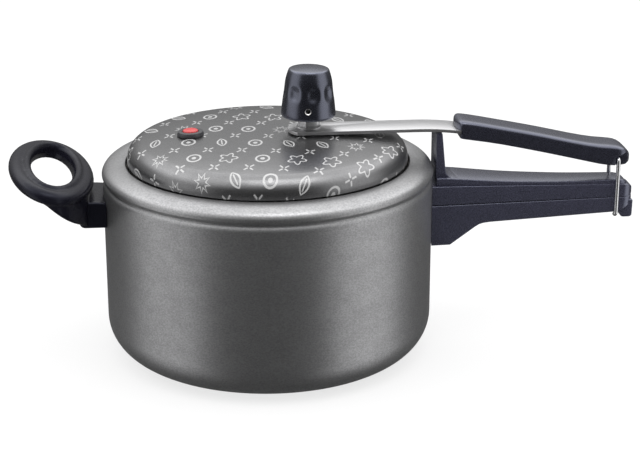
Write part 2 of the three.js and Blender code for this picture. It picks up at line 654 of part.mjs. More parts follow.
/** Side view of the main moulding. Its underside rises past the loop's feet so that they can swing out. */
function handleSide() {
  const footX = LOOP_PIVOT_X + LOOP_WIRE_RADIUS;
  const shape = new THREE.Shape();
  shape.moveTo(CROWN_RADIUS, ROOT_BOTTOM);
  shape.lineTo(WALL_RADIUS + ROOT_REACH, ROOT_BOTTOM);
  shape.lineTo(KNEE_X - 4.4, KNEE_Z - 3.2);
  shape.quadraticCurveTo(KNEE_X, KNEE_Z, KNEE_X + 6, KNEE_Z + 0.6);
  shape.lineTo(footX, FOOT_Z);
  shape.lineTo(HANDLE_TIP_X, FOOT_Z + 5.8);
  shape.lineTo(HANDLE_TIP_X, PARTING_Z + 2.6);
  shape.quadraticCurveTo(HANDLE_TIP_X - 0.4, LEDGE_TIP_Z - 0.4, HANDLE_TIP_X - 11, LEDGE_TIP_Z);
  shape.lineTo(WALL_RADIUS + 18, LEDGE_ROOT_Z - 0.5);
  shape.lineTo(CROWN_RADIUS, LEDGE_ROOT_Z);
  return shape;
}

/** The raised, narrower top face. */
function handleTop() {
  const start = POST_X + POST_THICKNESS / 2;
  const end = HANDLE_TIP_X - 3.4;
  const side = new THREE.Shape();
  side.moveTo(start - 4, PARTING_Z + 4);
  side.lineTo(start - 4, LEDGE_ROOT_Z + TOP_RISE + 1.4);
  side.lineTo(start + 6, LEDGE_ROOT_Z + TOP_RISE + 1.2);
  side.quadraticCurveTo(between(0.5, 0, 1, start, end), LEDGE_TIP_Z + TOP_RISE, end - 13, LEDGE_TIP_Z + TOP_RISE);
  side.quadraticCurveTo(end - 2, LEDGE_TIP_Z + TOP_RISE - 0.2, end, PARTING_Z + 4);
  side.lineTo(end, PARTING_Z + 4);
  const plan = new THREE.Shape();
  plan.moveTo(start - 4, -TOP_ROOT_HALF_WIDTH);
  plan.lineTo(start + 12, -TOP_ROOT_HALF_WIDTH);
  plan.lineTo(end - 8, -TOP_TIP_HALF_WIDTH);
  plan.absellipse(end - 8, 0, 8, TOP_TIP_HALF_WIDTH, -Math.PI / 2, Math.PI / 2, false);
  plan.lineTo(start + 12, TOP_ROOT_HALF_WIDTH);
  plan.lineTo(start - 4, TOP_ROOT_HALF_WIDTH);
  return common(fromSide(side, -ROOT_HALF_WIDTH, ROOT_HALF_WIDTH), fromAbove(plan, KNEE_Z, LID_APEX));
}

/** The upright post that the lever bar tips over, with a crowned top. */
function handlePost() {
  const half = POST_THICKNESS / 2;
  const crown = POST_CROWN_RADIUS;
  const top = crown + BAR_BOTTOM - barDrop(POST_X) - (crown + FIT) * Math.hypot(1, BEND_SLOPE);
  const sweep = Math.asin((half - 0.6) / crown);
  const foot = LEDGE_ROOT_Z + TOP_RISE + 1;
  const shape = new THREE.Shape();
  shape.moveTo(POST_X - half, PARTING_Z);
  shape.lineTo(POST_X - half, top - 1.4);
  shape.absarc(POST_X, top - crown, crown, Math.PI / 2 + sweep, Math.PI / 2 - sweep, true);
  shape.lineTo(POST_X + half, top - 1.4);
  shape.lineTo(POST_X + half + POST_FLARE, foot + 6);
  shape.quadraticCurveTo(POST_X + half + POST_FLARE + 1, foot, POST_X + half + POST_FLARE + 7, foot);
  shape.lineTo(POST_X + half + POST_FLARE + 7, PARTING_Z);
  return fromSide(shape, -POST_HALF_WIDTH, POST_HALF_WIDTH, 6);
}

/** The tongue under the tip that keeps the closed loop from slipping off. */
function handleNose() {
  const shape = new THREE.Shape();
  shape.moveTo(NOSE_X - 4, PARTING_Z - 3);
  shape.lineTo(NOSE_X - 1.6, NOSE_BOTTOM + 4.6);
  shape.lineTo(NOSE_X, NOSE_BOTTOM + 1);
  shape.quadraticCurveTo(NOSE_X + 0.6, NOSE_BOTTOM, NOSE_X + 2, NOSE_BOTTOM);
  shape.lineTo(HANDLE_TIP_X - 4, NOSE_BOTTOM);
  shape.quadraticCurveTo(HANDLE_TIP_X - 1, NOSE_BOTTOM + 0.2, HANDLE_TIP_X - 0.8, NOSE_BOTTOM + 3);
  shape.lineTo(HANDLE_TIP_X - 0.6, PARTING_Z - 3);
  return fromSide(shape, -NOSE_HALF_WIDTH, NOSE_HALF_WIDTH);
}

function makeLongHandle() {
  const reach = [BRACKET_HALF_WIDTH, BRACKET_BOTTOM, BRACKET_TOP, TONGUE_BOTTOM, TONGUE_TOP, TONGUE_REACH];
  addPart('handle_bracket', bracket(1, ...reach, SCREW_OFFSET, HANDLE_RIVET_AXES), plainSteel);
  HANDLE_RIVET_AXES.forEach((axis, i) => addPart(`handle_rivet_${i + 1}`, rivet(axis), plainSteel));

  const screwX = WALL_RADIUS + FIT + SCREW_OFFSET;
  const headBottom = ROOT_BOTTOM + 5;
  const tip = TONGUE_TOP + 2;
  addPart('handle_screw', screwFromBelow(screwX, headBottom, tip), plainSteel);

  const main = common(
    fromSide(handleSide(), -ROOT_HALF_WIDTH, ROOT_HALF_WIDTH),
    fromAbove(handlePlan(), ROOT_BOTTOM - 1, LID_APEX),
  );
  const slab = block(CROWN_RADIUS, HANDLE_TIP_X + 1, -ROOT_HALF_WIDTH - 1, ROOT_HALF_WIDTH + 1,
    PARTING_Z - PARTING_WIDTH / 2, PARTING_Z + PARTING_WIDTH / 2);
  const partingGroove = cut(slab, fromAbove(handlePlan(PARTING_DEPTH), PARTING_Z - 1, PARTING_Z + 1));
  const handle = cut(
    join(main, handleTop(), handlePost(), handleNose()),
    potClearance(),
    bracketPocket(1, ...reach, HANDLE_RIVET_AXES),
    screwHoleFromBelow(screwX, ROOT_BOTTOM - 1, headBottom, tip),
    partingGroove,
  );
  addPart('body_handle', handle, bakelite);
}

// ---------------------------------------------------------------- helper handle

/** The tilted loop, as a flattened round section carried along an ellipse. */
function helperLoop() {
  const steps = 40;
  const sides = 10;
  const tilt = THREE.MathUtils.degToRad(LOOP_TILT_DEG);
  const outward = vec3(-Math.cos(tilt), 0, Math.sin(tilt));
  const upward = vec3(Math.sin(tilt), 0, Math.cos(tilt));
  const centre = vec3(LOOP_CENTRE_X, 0, LOOP_CENTRE_Z);
  const sections = [];
  for (let i = 0; i < steps; i += 1) {
    const angle = (2 * Math.PI * i) / steps;
    const along = vec2(LOOP_DEPTH * Math.cos(angle), LOOP_BREADTH * Math.sin(angle));
    const normal = vec2(LOOP_BREADTH * Math.cos(angle), LOOP_DEPTH * Math.sin(angle)).normalize();
    const section = [];
    for (let j = 0; j < sides; j += 1) {
      const turn = (2 * Math.PI * j) / sides;
      const wide = LOOP_BAND_HALF * Math.cos(turn);
      const thick = LOOP_BAND_THICK * Math.sin(turn);
      section.push(centre.clone()
        .addScaledVector(outward, along.x + wide * normal.x)
        .add(vec3(0, along.y + wide * normal.y, 0))
        .addScaledVector(upward, thick));
    }
    sections.push(section);
  }
  return loft(sections, true);
}

/** The neck that carries the loop: a block at the pot and, beside it, webs under the loop's arms. */
function helperNeck() {
  const rise = Math.tan(THREE.MathUtils.degToRad(LOOP_TILT_DEG));
  const loopPlane = (x) => LOOP_CENTRE_Z + (LOOP_CENTRE_X - x) * rise;
  const side = outline([
    [-CROWN_RADIUS, NECK_BOTTOM], [NECK_END_X + 1.6, NECK_BOTTOM], [NECK_END_X, NECK_BOTTOM + 1],
    [NECK_END_X, NECK_TOP + 1], [-WALL_RADIUS - 4, NECK_TOP], [-CROWN_RADIUS, NECK_TOP - 1],
  ]);
  const webSide = outline([
    [-CROWN_RADIUS, NECK_BOTTOM + 6.5], [NECK_END_X + 3, NECK_BOTTOM + 6.5],
    [LOOP_CENTRE_X, loopPlane(LOOP_CENTRE_X) - LOOP_BAND_THICK + 1], [LOOP_CENTRE_X, loopPlane(LOOP_CENTRE_X)],
    [-WALL_RADIUS - 4, loopPlane(-WALL_RADIUS - 4)], [-CROWN_RADIUS, NECK_TOP - 1],
  ]);
  const reach = 2 * WALL_RADIUS;
  const webs = common(
    fromSide(webSide, -reach, reach),
    helperOval(LOOP_BAND_HALF - 3.5),
    block(LOOP_CENTRE_X, -CROWN_RADIUS, -reach, reach, 0, LID_APEX),
  );
  const neck = fromSide(side, -NECK_HALF_WIDTH, NECK_HALF_WIDTH);
  return join(neck, cut(webs, helperOval(0)));
}

/** An upright oval over the loop's centreline, widened by a margin. */
function helperOval(margin) {
  const geometry = new THREE.CylinderGeometry(1, 1, LID_APEX, 40).rotateX(Math.PI / 2);
  geometry.scale(LOOP_DEPTH + margin, LOOP_BREADTH + margin, 1);
  return solid(geometry.translate(LOOP_CENTRE_X, 0, LID_APEX / 2));
}

function makeHelperHandle() {
  const reach = [HELPER_BRACKET_HALF_WIDTH, HELPER_BRACKET_BOTTOM, HELPER_BRACKET_TOP,
    HELPER_TONGUE_BOTTOM, HELPER_TONGUE_TOP, HELPER_TONGUE_REACH];
  addPart('helper_bracket', bracket(-1, ...reach, HELPER_SCREW_OFFSET, HELPER_RIVET_AXES), plainSteel);
  HELPER_RIVET_AXES.forEach((axis, i) => addPart(`helper_rivet_${i + 1}`, rivet(axis), plainSteel));

  const screwX = -(WALL_RADIUS + FIT + HELPER_SCREW_OFFSET);
  const headBottom = NECK_BOTTOM + 1;
  const tip = HELPER_TONGUE_TOP + 1.5;
  addPart('helper_screw', screwFromBelow(screwX, headBottom, tip), plainSteel);

  const handle = cut(
    join(cut(helperNeck(), helperOval(0.6 - LOOP_BAND_HALF)), helperLoop()),
    potClearance(),
    bracketPocket(-1, ...reach, HELPER_RIVET_AXES),
    screwHoleFromBelow(screwX, NECK_BOTTOM - 1, headBottom, tip),
  );
  addPart('helper_handle', handle, bakelite);
}

// ---------------------------------------------------------------- lid

function lidProfile() {
  const crown = [0, 0.35, 0.7].map((share) => vec2(share * KNEE_CENTRE_R, crownHeight(share * KNEE_CENTRE_R)));
  const inner = crown.map((point) => vec2(point.x, point.y - LID_THICKNESS));
  const kneeZ = KNEE_TOP_Z - KNEE_RADIUS;
  const innerKnee = KNEE_RADIUS - LID_THICKNESS;
  const wallInner = LID_WALL_RADIUS - LID_THICKNESS;
  return [
    ...crown,
    ...arc(KNEE_CENTRE_R, kneeZ, KNEE_RADIUS, KNEE_RADIUS, 88, 0, 6),
    vec2(LID_WALL_RADIUS, FLANGE_TOP + 0.8),
    vec2(LID_WALL_RADIUS + 0.6, FLANGE_TOP),
    vec2(FLANGE_RADIUS, FLANGE_TOP),
    vec2(FLANGE_RADIUS, FLANGE_TOP - FLANGE_THICKNESS),
    vec2(wallInner + 1, FLANGE_TOP - FLANGE_THICKNESS),
    vec2(wallInner, FLANGE_TOP - FLANGE_THICKNESS + 1),
    ...arc(KNEE_CENTRE_R, kneeZ, innerKnee, innerKnee, 0, 88, 4),
    ...inner.reverse(),
  ];
}

const VALVE_PLAN_RADIUS = Math.hypot(VALVE_X, VALVE_Y / MOUTH_RATIO);
const VALVE_BASE = vec3(VALVE_X, VALVE_Y, crownHeight(VALVE_PLAN_RADIUS));
const VALVE_SLOPE = (2 * LID_SAG * VALVE_PLAN_RADIUS) / KNEE_CENTRE_R ** 2;
const VALVE_AXIS = vec3(VALVE_X / VALVE_PLAN_RADIUS * VALVE_SLOPE, VALVE_Y / VALVE_PLAN_RADIUS * VALVE_SLOPE, 1).normalize();

function makeLidShell() {
  const shell = solid(revolveGeometry(lidProfile()).scale(1, MOUTH_RATIO, 1));
  const stemHole = drum(STEM_RADIUS + HOLE_FIT, FLANGE_TOP, BAR_TOP, SMALL_SIDES, STEM_X);
  const valveHole = rod(
    VALVE_NECK_RADIUS + HOLE_FIT,
    VALVE_BASE.clone().addScaledVector(VALVE_AXIS, -8),
    VALVE_BASE.clone().addScaledVector(VALVE_AXIS, 8),
    SMALL_SIDES,
  );
  addPart('lid_shell', cut(shell, stemHole, valveHole), coatedLid);
}

function makeGasket() {
  const inner = LID_WALL_RADIUS + 0.6 + SEAL_FIT;
  const bottom = FLANGE_TOP + SEAL_FIT;
  const top = bottom + GASKET_THICKNESS;
  const profile = [
    vec2(inner, bottom), vec2(GASKET_RADIUS - 0.8, bottom), vec2(GASKET_RADIUS, bottom + 0.9),
    vec2(GASKET_RADIUS, top - 0.7), vec2(GASKET_RADIUS - 0.7, top), vec2(inner + 0.6, top),
    vec2(inner, top - 0.6), vec2(inner, bottom),
  ];
  addPart('sealing_gasket', solid(revolveGeometry(profile).scale(1, MOUTH_RATIO, 1)), siliconeSeal);
}

// ---------------------------------------------------------------- lever bar and grip

/** A strip that follows the bar, thickened by a margin on each face. */
function barStrip(fromX, toX, halfWidth, margin) {
  const half = BAR_THICKNESS / 2 + margin;
  const stations = [fromX];
  for (let i = 0; i <= 6; i += 1) {
    const x = BEND_X + ((BEND_END_X - BEND_X) * i) / 6;
    if (x > fromX && x < toX) stations.push(x);
  }
  stations.push(toX);
  const upper = stations.map((x) => [x, LEVER_SHEET_Z - barDrop(x) + half]);
  const lower = stations.map((x) => [x, LEVER_SHEET_Z - barDrop(x) - half]);
  return fromSide(outline(upper.concat(lower.reverse())), -halfWidth, halfWidth);
}

/** Axis of a grip screw: square to the bar, from below its middle plane to above it. */
function gripScrewAxis(x) {
  const across = vec3(BEND_SLOPE, 0, 1).normalize();
  return { foot: vec3(x, 0, LEVER_SHEET_Z - barDrop(x)), across };
}

function makeBar() {
  const half = BAR_WIDTH / 2;
  const noseCentre = STEM_X - BAR_NOSE_REACH + BAR_NOSE_RADIUS;
  const noseAngle = Math.PI - Math.asin(half / BAR_NOSE_RADIUS);
  const plan = new THREE.Shape();
  plan.moveTo(TANG_START_X, half);
  plan.lineTo(noseCentre + BAR_NOSE_RADIUS * Math.cos(noseAngle), half);
  plan.absarc(noseCentre, 0, BAR_NOSE_RADIUS, noseAngle, 2 * Math.PI - noseAngle, false);
  plan.lineTo(TANG_START_X, -half);
  plan.lineTo(TANG_START_X + TANG_CORNER, -TANG_WIDTH / 2);
  plan.lineTo(TANG_END_X - TANG_CORNER, -TANG_WIDTH / 2);
  plan.lineTo(TANG_END_X, TANG_CORNER - TANG_WIDTH / 2);
  plan.lineTo(TANG_END_X, TANG_WIDTH / 2 - TANG_CORNER);
  plan.lineTo(TANG_END_X - TANG_CORNER, TANG_WIDTH / 2);
  plan.lineTo(TANG_START_X + TANG_CORNER, TANG_WIDTH / 2);
  const strip = barStrip(0, TANG_END_X + 4, half, 0);
  const screwHoles = GRIP_SCREW_X.map((x) => {
    const { foot, across } = gripScrewAxis(x);
    const from = foot.clone().addScaledVector(across, -5);
    return rod(SCREW_RADIUS + HOLE_FIT, from, foot.clone().addScaledVector(across, 5));
  });
  const stemHole = drum(STEM_RADIUS + HOLE_FIT, BAR_BOTTOM - 2, BAR_TOP + 2, SMALL_SIDES, STEM_X);
  const bar = cut(common(strip, fromAbove(plan, BAR_BOTTOM - barDrop(TANG_END_X) - BAR_WIDTH, BAR_TOP + BAR_WIDTH, 12)), stemHole, ...screwHoles);
  addPart('lid_bar', bar, brushedSteel);
}

/** Upper and lower edge of the grip's side face along X. */
const gripEdge = (line) => new THREE.SplineCurve(line.map(([share, height]) => {
  const x = GRIP_START_X + share * GRIP_LENGTH;
  return vec2(x, LEVER_SHEET_Z - barDrop(x) + height);
}));
const GRIP_TOP_EDGE = gripEdge(GRIP_TOP_LINE);
const GRIP_BOTTOM_EDGE = gripEdge(GRIP_BOTTOM_LINE);

/** Height on an edge curve at a distance along X. */
function edgeHeight(curve, x) {
  let [low, high] = [0, 1];
  for (let i = 0; i < 30; i += 1) {
    const middle = (low + high) / 2;
    if (curve.getPoint(middle).x < x) low = middle;
    else high = middle;
  }
  return curve.getPoint(low).y;
}

/** Half the grip's width: full along its length, drawn in to a rounded plan at both ends. */
function gripHalfWidth(x) {
  const startRound = GRIP_HALF_WIDTH * 0.36;
  const endRound = GRIP_HALF_WIDTH * 0.75;
  const start = Math.max(1 - (x - GRIP_START_X) / startRound, 0);
  const end = Math.max(1 - (GRIP_END_X - x) / endRound, 0);
  const taper = Math.sqrt(Math.max(1 - start ** 2.4, 0.04)) * Math.sqrt(Math.max(1 - end ** 2, 0.02));
  return GRIP_HALF_WIDTH * taper;
}

/** One cross-section of the grip: flat sides and bottom, softened edges and a well crowned top. */
function gripSection(x) {
  const half = gripHalfWidth(x);
  const share = half / GRIP_HALF_WIDTH;
  const top = edgeHeight(GRIP_TOP_EDGE, x) - 1.4;
  const bottom = edgeHeight(GRIP_BOTTOM_EDGE, x);
  const crown = (GRIP_CROWN + 1.4) * Math.sqrt(share);
  const right = [[0, bottom], [half - 1.8 * share, bottom], [half - 0.5 * share, bottom + 0.5], [half, bottom + 1.8]];
  for (let i = 0; i <= 5; i += 1) {
    const turn = (Math.PI * i) / 10;
    right.push([half * Math.cos(turn) ** 0.8, top + crown * Math.sin(turn) ** 0.8]);
  }
  right[right.length - 1][0] = 0;
  const left = right.slice(1, -1).map(([y, z]) => [-y, z]).reverse();
  return right.concat(left).map(([y, z]) => vec3(x, y, z));
}

/** Room beside and below the pivot for the loop's legs, from hanging down to swung up past level. */
function loopPocket(side) {
  const reach = LOOP_WIRE_RADIUS + FIT + 0.8;
  const top = GRIP_END_X - LOOP_PIVOT_X;
  const lift = Math.tan(THREE.MathUtils.degToRad(LOOP_SWING_DEG - 90)) * top;
  const shape = new THREE.Shape();
  shape.moveTo(LOOP_PIVOT_X - reach, LOOP_PIVOT_Z - 10);
  shape.lineTo(LOOP_PIVOT_X - reach, LOOP_PIVOT_Z);
  shape.absarc(LOOP_PIVOT_X, LOOP_PIVOT_Z, reach, Math.PI, Math.PI / 2, true);
  shape.lineTo(GRIP_END_X + 2, LOOP_PIVOT_Z + lift + reach + 1);
  shape.lineTo(GRIP_END_X + 2, LOOP_PIVOT_Z - 10);
  const inner = LOOP_HALF_SPACING - LOOP_WIRE_RADIUS - FIT;
  const [y0, y1] = side > 0 ? [inner, GRIP_HALF_WIDTH + 2] : [-GRIP_HALF_WIDTH - 2, -inner];
  return fromSide(shape, y0, y1, 6);
}

function makeGrip() {
  const stations = [
    ...[0, 0.4, 1.2, 2.6, 4.8, 12].map((step) => GRIP_START_X + step),
    ...[0.25, 0.41, 0.58, 0.73, 0.84].map((share) => GRIP_START_X + share * GRIP_LENGTH),
    ...[12, 8, 4.6, 2, 0.6, 0].map((step) => GRIP_END_X - step),
  ];
  const blank = loft(stations.map(gripSection));
  const slot = join(
    barStrip(GRIP_START_X - 6, TANG_START_X + 2 * FIT, GRIP_HALF_WIDTH + 1, FIT),
    barStrip(GRIP_START_X - 6, TANG_START_X + TANG_CORNER + FIT, BAR_WIDTH / 2 + FIT, FIT),
    barStrip(TANG_START_X, TANG_END_X + FIT, TANG_WIDTH / 2 + FIT, FIT),
  );
  const step = block(GRIP_START_X - 2, GRIP_START_X + GRIP_STEP, -GRIP_HALF_WIDTH - 1, GRIP_HALF_WIDTH + 1,
    LID_INNER_APEX - 10, BAR_BOTTOM - barDrop(GRIP_START_X) - FIT);
  const screwHoles = GRIP_SCREW_X.flatMap((x) => {
    const { foot, across } = gripScrewAxis(x);
    const at = (distance) => foot.clone().addScaledVector(across, distance);
    return [
      rod(SCREW_RADIUS + HOLE_FIT, at(-GRIP_SCREW_SEAT - GRIP_SCREW_HEAD), at(GRIP_SCREW_TIP + FIT)),
      rod(SCREW_HEAD_RADIUS + HOLE_FIT, at(-GRIP_HALF_WIDTH), at(FIT - GRIP_SCREW_SEAT)),
    ];
  });
  const pivotHole = rod(
    LOOP_WIRE_RADIUS + HOLE_FIT,
    vec3(LOOP_PIVOT_X, -GRIP_HALF_WIDTH - 2, LOOP_PIVOT_Z),
    vec3(LOOP_PIVOT_X, GRIP_HALF_WIDTH + 2, LOOP_PIVOT_Z),
  );
  const grip = cut(blank, slot, step, ...screwHoles, pivotHole, loopPocket(1), loopPocket(-1));
  addPart('lid_grip', grip, bakelite);

  GRIP_SCREW_X.forEach((x, i) => {
    const { foot, across } = gripScrewAxis(x);
    const head = -GRIP_SCREW_SEAT - GRIP_SCREW_HEAD;
    const profile = [
      vec2(0, head), vec2(SCREW_HEAD_RADIUS * 0.8, head), vec2(SCREW_HEAD_RADIUS, head + 0.6),
      vec2(SCREW_HEAD_RADIUS, -GRIP_SCREW_SEAT), vec2(SCREW_RADIUS, -GRIP_SCREW_SEAT),
      vec2(SCREW_RADIUS, GRIP_SCREW_TIP - 0.7), vec2(SCREW_RADIUS * 0.6, GRIP_SCREW_TIP), vec2(0, GRIP_SCREW_TIP),
    ];
    const geometry = revolveGeometry(profile, PIN_SIDES);
    geometry.applyQuaternion(new THREE.Quaternion().setFromUnitVectors(vec3(0, 0, 1), across));
    geometry.translate(foot.x, foot.y, foot.z);
    addPart(`grip_screw_${i + 1}`, solid(geometry), plainSteel);
  });
}

// ---------------------------------------------------------------- locking loop

function makeLoop() {
  const bend = LOOP_BEND_RADIUS;
  const bottom = LOOP_BOTTOM;
  const at = (y, z) => vec3(LOOP_PIVOT_X, y, z);
  const half = LOOP_HALF_SPACING;
  const path = new THREE.CurvePath();
  const corner = (from, middle, to) => path.add(new THREE.QuadraticBezierCurve3(from, middle, to));
  const straight = (from, to) => path.add(new THREE.LineCurve3(from, to));
  straight(at(-LOOP_FOOT_INNER, bottom), at(-half + bend, bottom));
  corner(at(-half + bend, bottom), at(-half, bottom), at(-half, bottom + bend));
  straight(at(-half, bottom + bend), at(-half, LOOP_PIVOT_Z - bend));
  corner(at(-half, LOOP_PIVOT_Z - bend), at(-half, LOOP_PIVOT_Z), at(-half + bend, LOOP_PIVOT_Z));
  straight(at(-half + bend, LOOP_PIVOT_Z), at(half - bend, LOOP_PIVOT_Z));
  corner(at(half - bend, LOOP_PIVOT_Z), at(half, LOOP_PIVOT_Z), at(half, LOOP_PIVOT_Z - bend));
  straight(at(half, LOOP_PIVOT_Z - bend), at(half, bottom + bend));
  corner(at(half, bottom + bend), at(half, bottom), at(half - bend, bottom));
  straight(at(half - bend, bottom), at(LOOP_FOOT_INNER, bottom));
  const section = new THREE.Shape().absarc(0, 0, LOOP_WIRE_RADIUS, 0, 2 * Math.PI, false);
  const geometry = new THREE.ExtrudeGeometry(section, { steps: 80, curveSegments: 4, extrudePath: path });
  addPart('locking_loop', solid(geometry), brushedSteel);
}

// ---------------------------------------------------------------- vent stem and what is on it

function makeVent() {
  const tail = LID_INNER_APEX - STEM_TAIL;
  const neckStart = BAR_TOP + WASHER_THICKNESS + NUT_HEIGHT + 3;
  const profile = [
    vec2(VENT_BORE_RADIUS, tail), vec2(STEM_RADIUS, tail), vec2(STEM_RADIUS, COLLAR_TOP - COLLAR_THICKNESS),
    vec2(COLLAR_RADIUS, COLLAR_TOP - COLLAR_THICKNESS), vec2(COLLAR_RADIUS, COLLAR_TOP),
    vec2(STEM_RADIUS, COLLAR_TOP), vec2(STEM_RADIUS, neckStart), vec2(STEM_NECK_RADIUS, neckStart + 1),
    vec2(STEM_NECK_RADIUS, STEM_TOP - 3), vec2(VENT_BORE_RADIUS + 0.5, STEM_TOP),
    vec2(VENT_BORE_RADIUS, STEM_TOP), vec2(VENT_BORE_RADIUS, tail),
  ];
  addPart('vent_stem', solid(revolveGeometry(profile, SMALL_SIDES).translate(STEM_X, 0, 0)), plainSteel);

  const bore = STEM_RADIUS + HOLE_FIT;
  const sealTop = COLLAR_TOP + SEAL_THICKNESS;
  addPart('stem_seal', ring(bore, SEAL_RADIUS, COLLAR_TOP, sealTop, SMALL_SIDES, STEM_X), darkRubber);
  addPart('bar_spacer', ring(bore, SPACER_RADIUS, LID_APEX, BAR_BOTTOM, SMALL_SIDES, STEM_X), plainSteel);

  const washerTop = BAR_TOP + WASHER_THICKNESS;
  addPart('stem_washer', ring(bore, WASHER_RADIUS, BAR_TOP, washerTop, SMALL_SIDES, STEM_X), brushedSteel);
  const hexagon = drum(NUT_FLATS / Math.sqrt(3), washerTop, washerTop + NUT_HEIGHT, 6, STEM_X);
  const chamfer = revolve([
    vec2(0, washerTop - 1), vec2(NUT_FLATS * 0.62, washerTop - 1), vec2(NUT_FLATS * 0.62, washerTop + NUT_HEIGHT - 1.4),
    vec2(NUT_FLATS * 0.48, washerTop + NUT_HEIGHT), vec2(0, washerTop + NUT_HEIGHT),
  ], SMALL_SIDES).translate([STEM_X, 0, 0]);
  const nutBore = drum(bore, washerTop - 1, washerTop + NUT_HEIGHT + 1, SMALL_SIDES, STEM_X);
  addPart('stem_nut', cut(common(hexagon, chamfer), nutBore), brushedSteel);
}

/** A small slotted cup over the stem's lower end that keeps food out of the vent. */
function makeVentFilter() {
  const top = COLLAR_TOP - COLLAR_THICKNESS;
  const roof = top - FILTER_WALL;
  const bottom = top - FILTER_HEIGHT - STEM_TAIL / 2;
  const profile = [
    vec2(STEM_RADIUS + HOLE_FIT, roof), vec2(FILTER_RADIUS - FILTER_WALL, roof),
    vec2(FILTER_RADIUS - FILTER_WALL, bottom + FILTER_WALL), vec2(1.6, bottom + FILTER_WALL),
    vec2(1.6, bottom), vec2(FILTER_RADIUS, bottom), vec2(FILTER_RADIUS, top),
    vec2(STEM_RADIUS + HOLE_FIT, top), vec2(STEM_RADIUS + HOLE_FIT, roof),
  ];
  const cup = revolve(profile, SMALL_SIDES);
  const slots = [];
  for (let i = 0; i < FILTER_SLOTS / 2; i += 1) {
    const angle = (Math.PI * i) / (FILTER_SLOTS / 2);
    const bar = new THREE.BoxGeometry(2 * FILTER_RADIUS + 2, 1.6, FILTER_HEIGHT * 0.6);
    slots.push(solid(bar.rotateZ(angle).translate(0, 0, bottom + FILTER_HEIGHT * 0.55)));
  }
  addPart('vent_filter', cut(cup, ...slots).translate([STEM_X, 0, 0]), plainSteel);
}

// ---------------------------------------------------------------- pressure weight

function makeWeight() {
  const top = WEIGHT_BOTTOM + WEIGHT_HEIGHT;
  const cavity = WEIGHT_RADIUS - WEIGHT_SKIN;
  const cavityTop = top - WEIGHT_ROOF;
  const at = (share, radius) => vec2(radius, WEIGHT_BOTTOM + share * WEIGHT_HEIGHT);
  const profile = [
    vec2(cavity, WEIGHT_BOTTOM), at(0, WEIGHT_RADIUS - 0.6), at(0.03, WEIGHT_RADIUS), at(0.16, WEIGHT_RADIUS + 0.2),
    at(0.3, WEIGHT_RADIUS - 0.2), at(0.5, WEIGHT_RADIUS - 1.2), at(0.68, WEIGHT_RADIUS - 1.8),
    at(0.84, WEIGHT_RADIUS - 3), at(0.93, WEIGHT_TOP_RADIUS + 1), at(0.98, WEIGHT_TOP_RADIUS + 0.3),
    at(1, WEIGHT_TOP_RADIUS - 0.6), at(0.992, WEIGHT_TOP_RADIUS - 1.4), at(0.992, 0),
    vec2(0, cavityTop), vec2(WEIGHT_TOP_RADIUS - 4, cavityTop), vec2(cavity - 5, cavityTop - 4), vec2(cavity - 2.4, WEIGHT_BOTTOM + 15),
    vec2(cavity, WEIGHT_BOTTOM + 9), vec2(cavity, WEIGHT_BOTTOM),
  ];
  const dimples = [];
  for (let i = 0; i < FINGER_DIMPLES; i += 1) {
    const angle = -Math.PI / 2 + (2 * Math.PI * i) / FINGER_DIMPLES;
    const ball = new THREE.SphereGeometry(1, 10, 7).scale(DIMPLE_DEPTH * 2, DIMPLE_WIDTH, DIMPLE_HEIGHT);
    const reach = WEIGHT_RADIUS - 1.2 + DIMPLE_DEPTH;
    ball.rotateY(-0.13).translate(reach, 0, WEIGHT_BOTTOM + DIMPLE_RISE).rotateZ(angle);
    dimples.push(solid(ball));
  }
  const steamHoles = [];
  for (let i = 0; i < STEAM_HOLES; i += 1) {
    const angle = -Math.PI / 2 + THIRD_TURN * i;
    const height = WEIGHT_BOTTOM + STEAM_HOLE_RISE;
    const end = vec3(WEIGHT_RADIUS * 1.3 * Math.cos(angle), WEIGHT_RADIUS * 1.3 * Math.sin(angle), height);
    steamHoles.push(rod(STEAM_HOLE_RADIUS, vec3(0, 0, height), end, 12));
  }
  const place = (body) => body.rotate([0, 0, WEIGHT_TURN_DEG]).translate([STEM_X, 0, 0]);
  addPart('weight_cap', place(cut(revolve(profile, 30), ...dimples, ...steamHoles)), weightBakelite);

  const coreBottom = WEIGHT_BOTTOM + CORE_RECESS;
  const coreTop = Math.min(coreBottom + CORE_HEIGHT, cavityTop - FIT);
  const coreRadius = cavity - FIT;
  const seat = STEM_TOP + FIT;
  const core = [
    vec2(CORE_BORE_RADIUS, coreBottom), vec2(coreRadius, coreBottom), vec2(coreRadius, WEIGHT_BOTTOM + 8.6),
    vec2(coreRadius - 2.6, WEIGHT_BOTTOM + 14.8), vec2(cavity - 5.6, coreTop - 3.6),
    vec2(WEIGHT_TOP_RADIUS - 4.6, coreTop), vec2(0, coreTop), vec2(0, seat + 1.2),
    vec2(VENT_BORE_RADIUS + 0.4, seat), vec2(STEM_NECK_RADIUS + 1, seat - CORE_CONE_DEPTH + CORE_CONE_RISE),
    vec2(CORE_BORE_RADIUS, seat - CORE_CONE_DEPTH), vec2(CORE_BORE_RADIUS, coreBottom),
  ];
  const crossHoles = [];
  for (let i = 0; i < STEAM_HOLES; i += 1) {
    const angle = -Math.PI / 2 + THIRD_TURN * i;
    const height = WEIGHT_BOTTOM + STEAM_HOLE_RISE;
    const end = vec3(WEIGHT_RADIUS * Math.cos(angle), WEIGHT_RADIUS * Math.sin(angle), height);
    crossHoles.push(rod(STEAM_HOLE_RADIUS * 0.55, vec3(0, 0, height), end, 10));
  }
  addPart('weight_core', place(cut(revolve(core, SMALL_SIDES), ...crossHoles)), brass);
}

// ---------------------------------------------------------------- safety valve

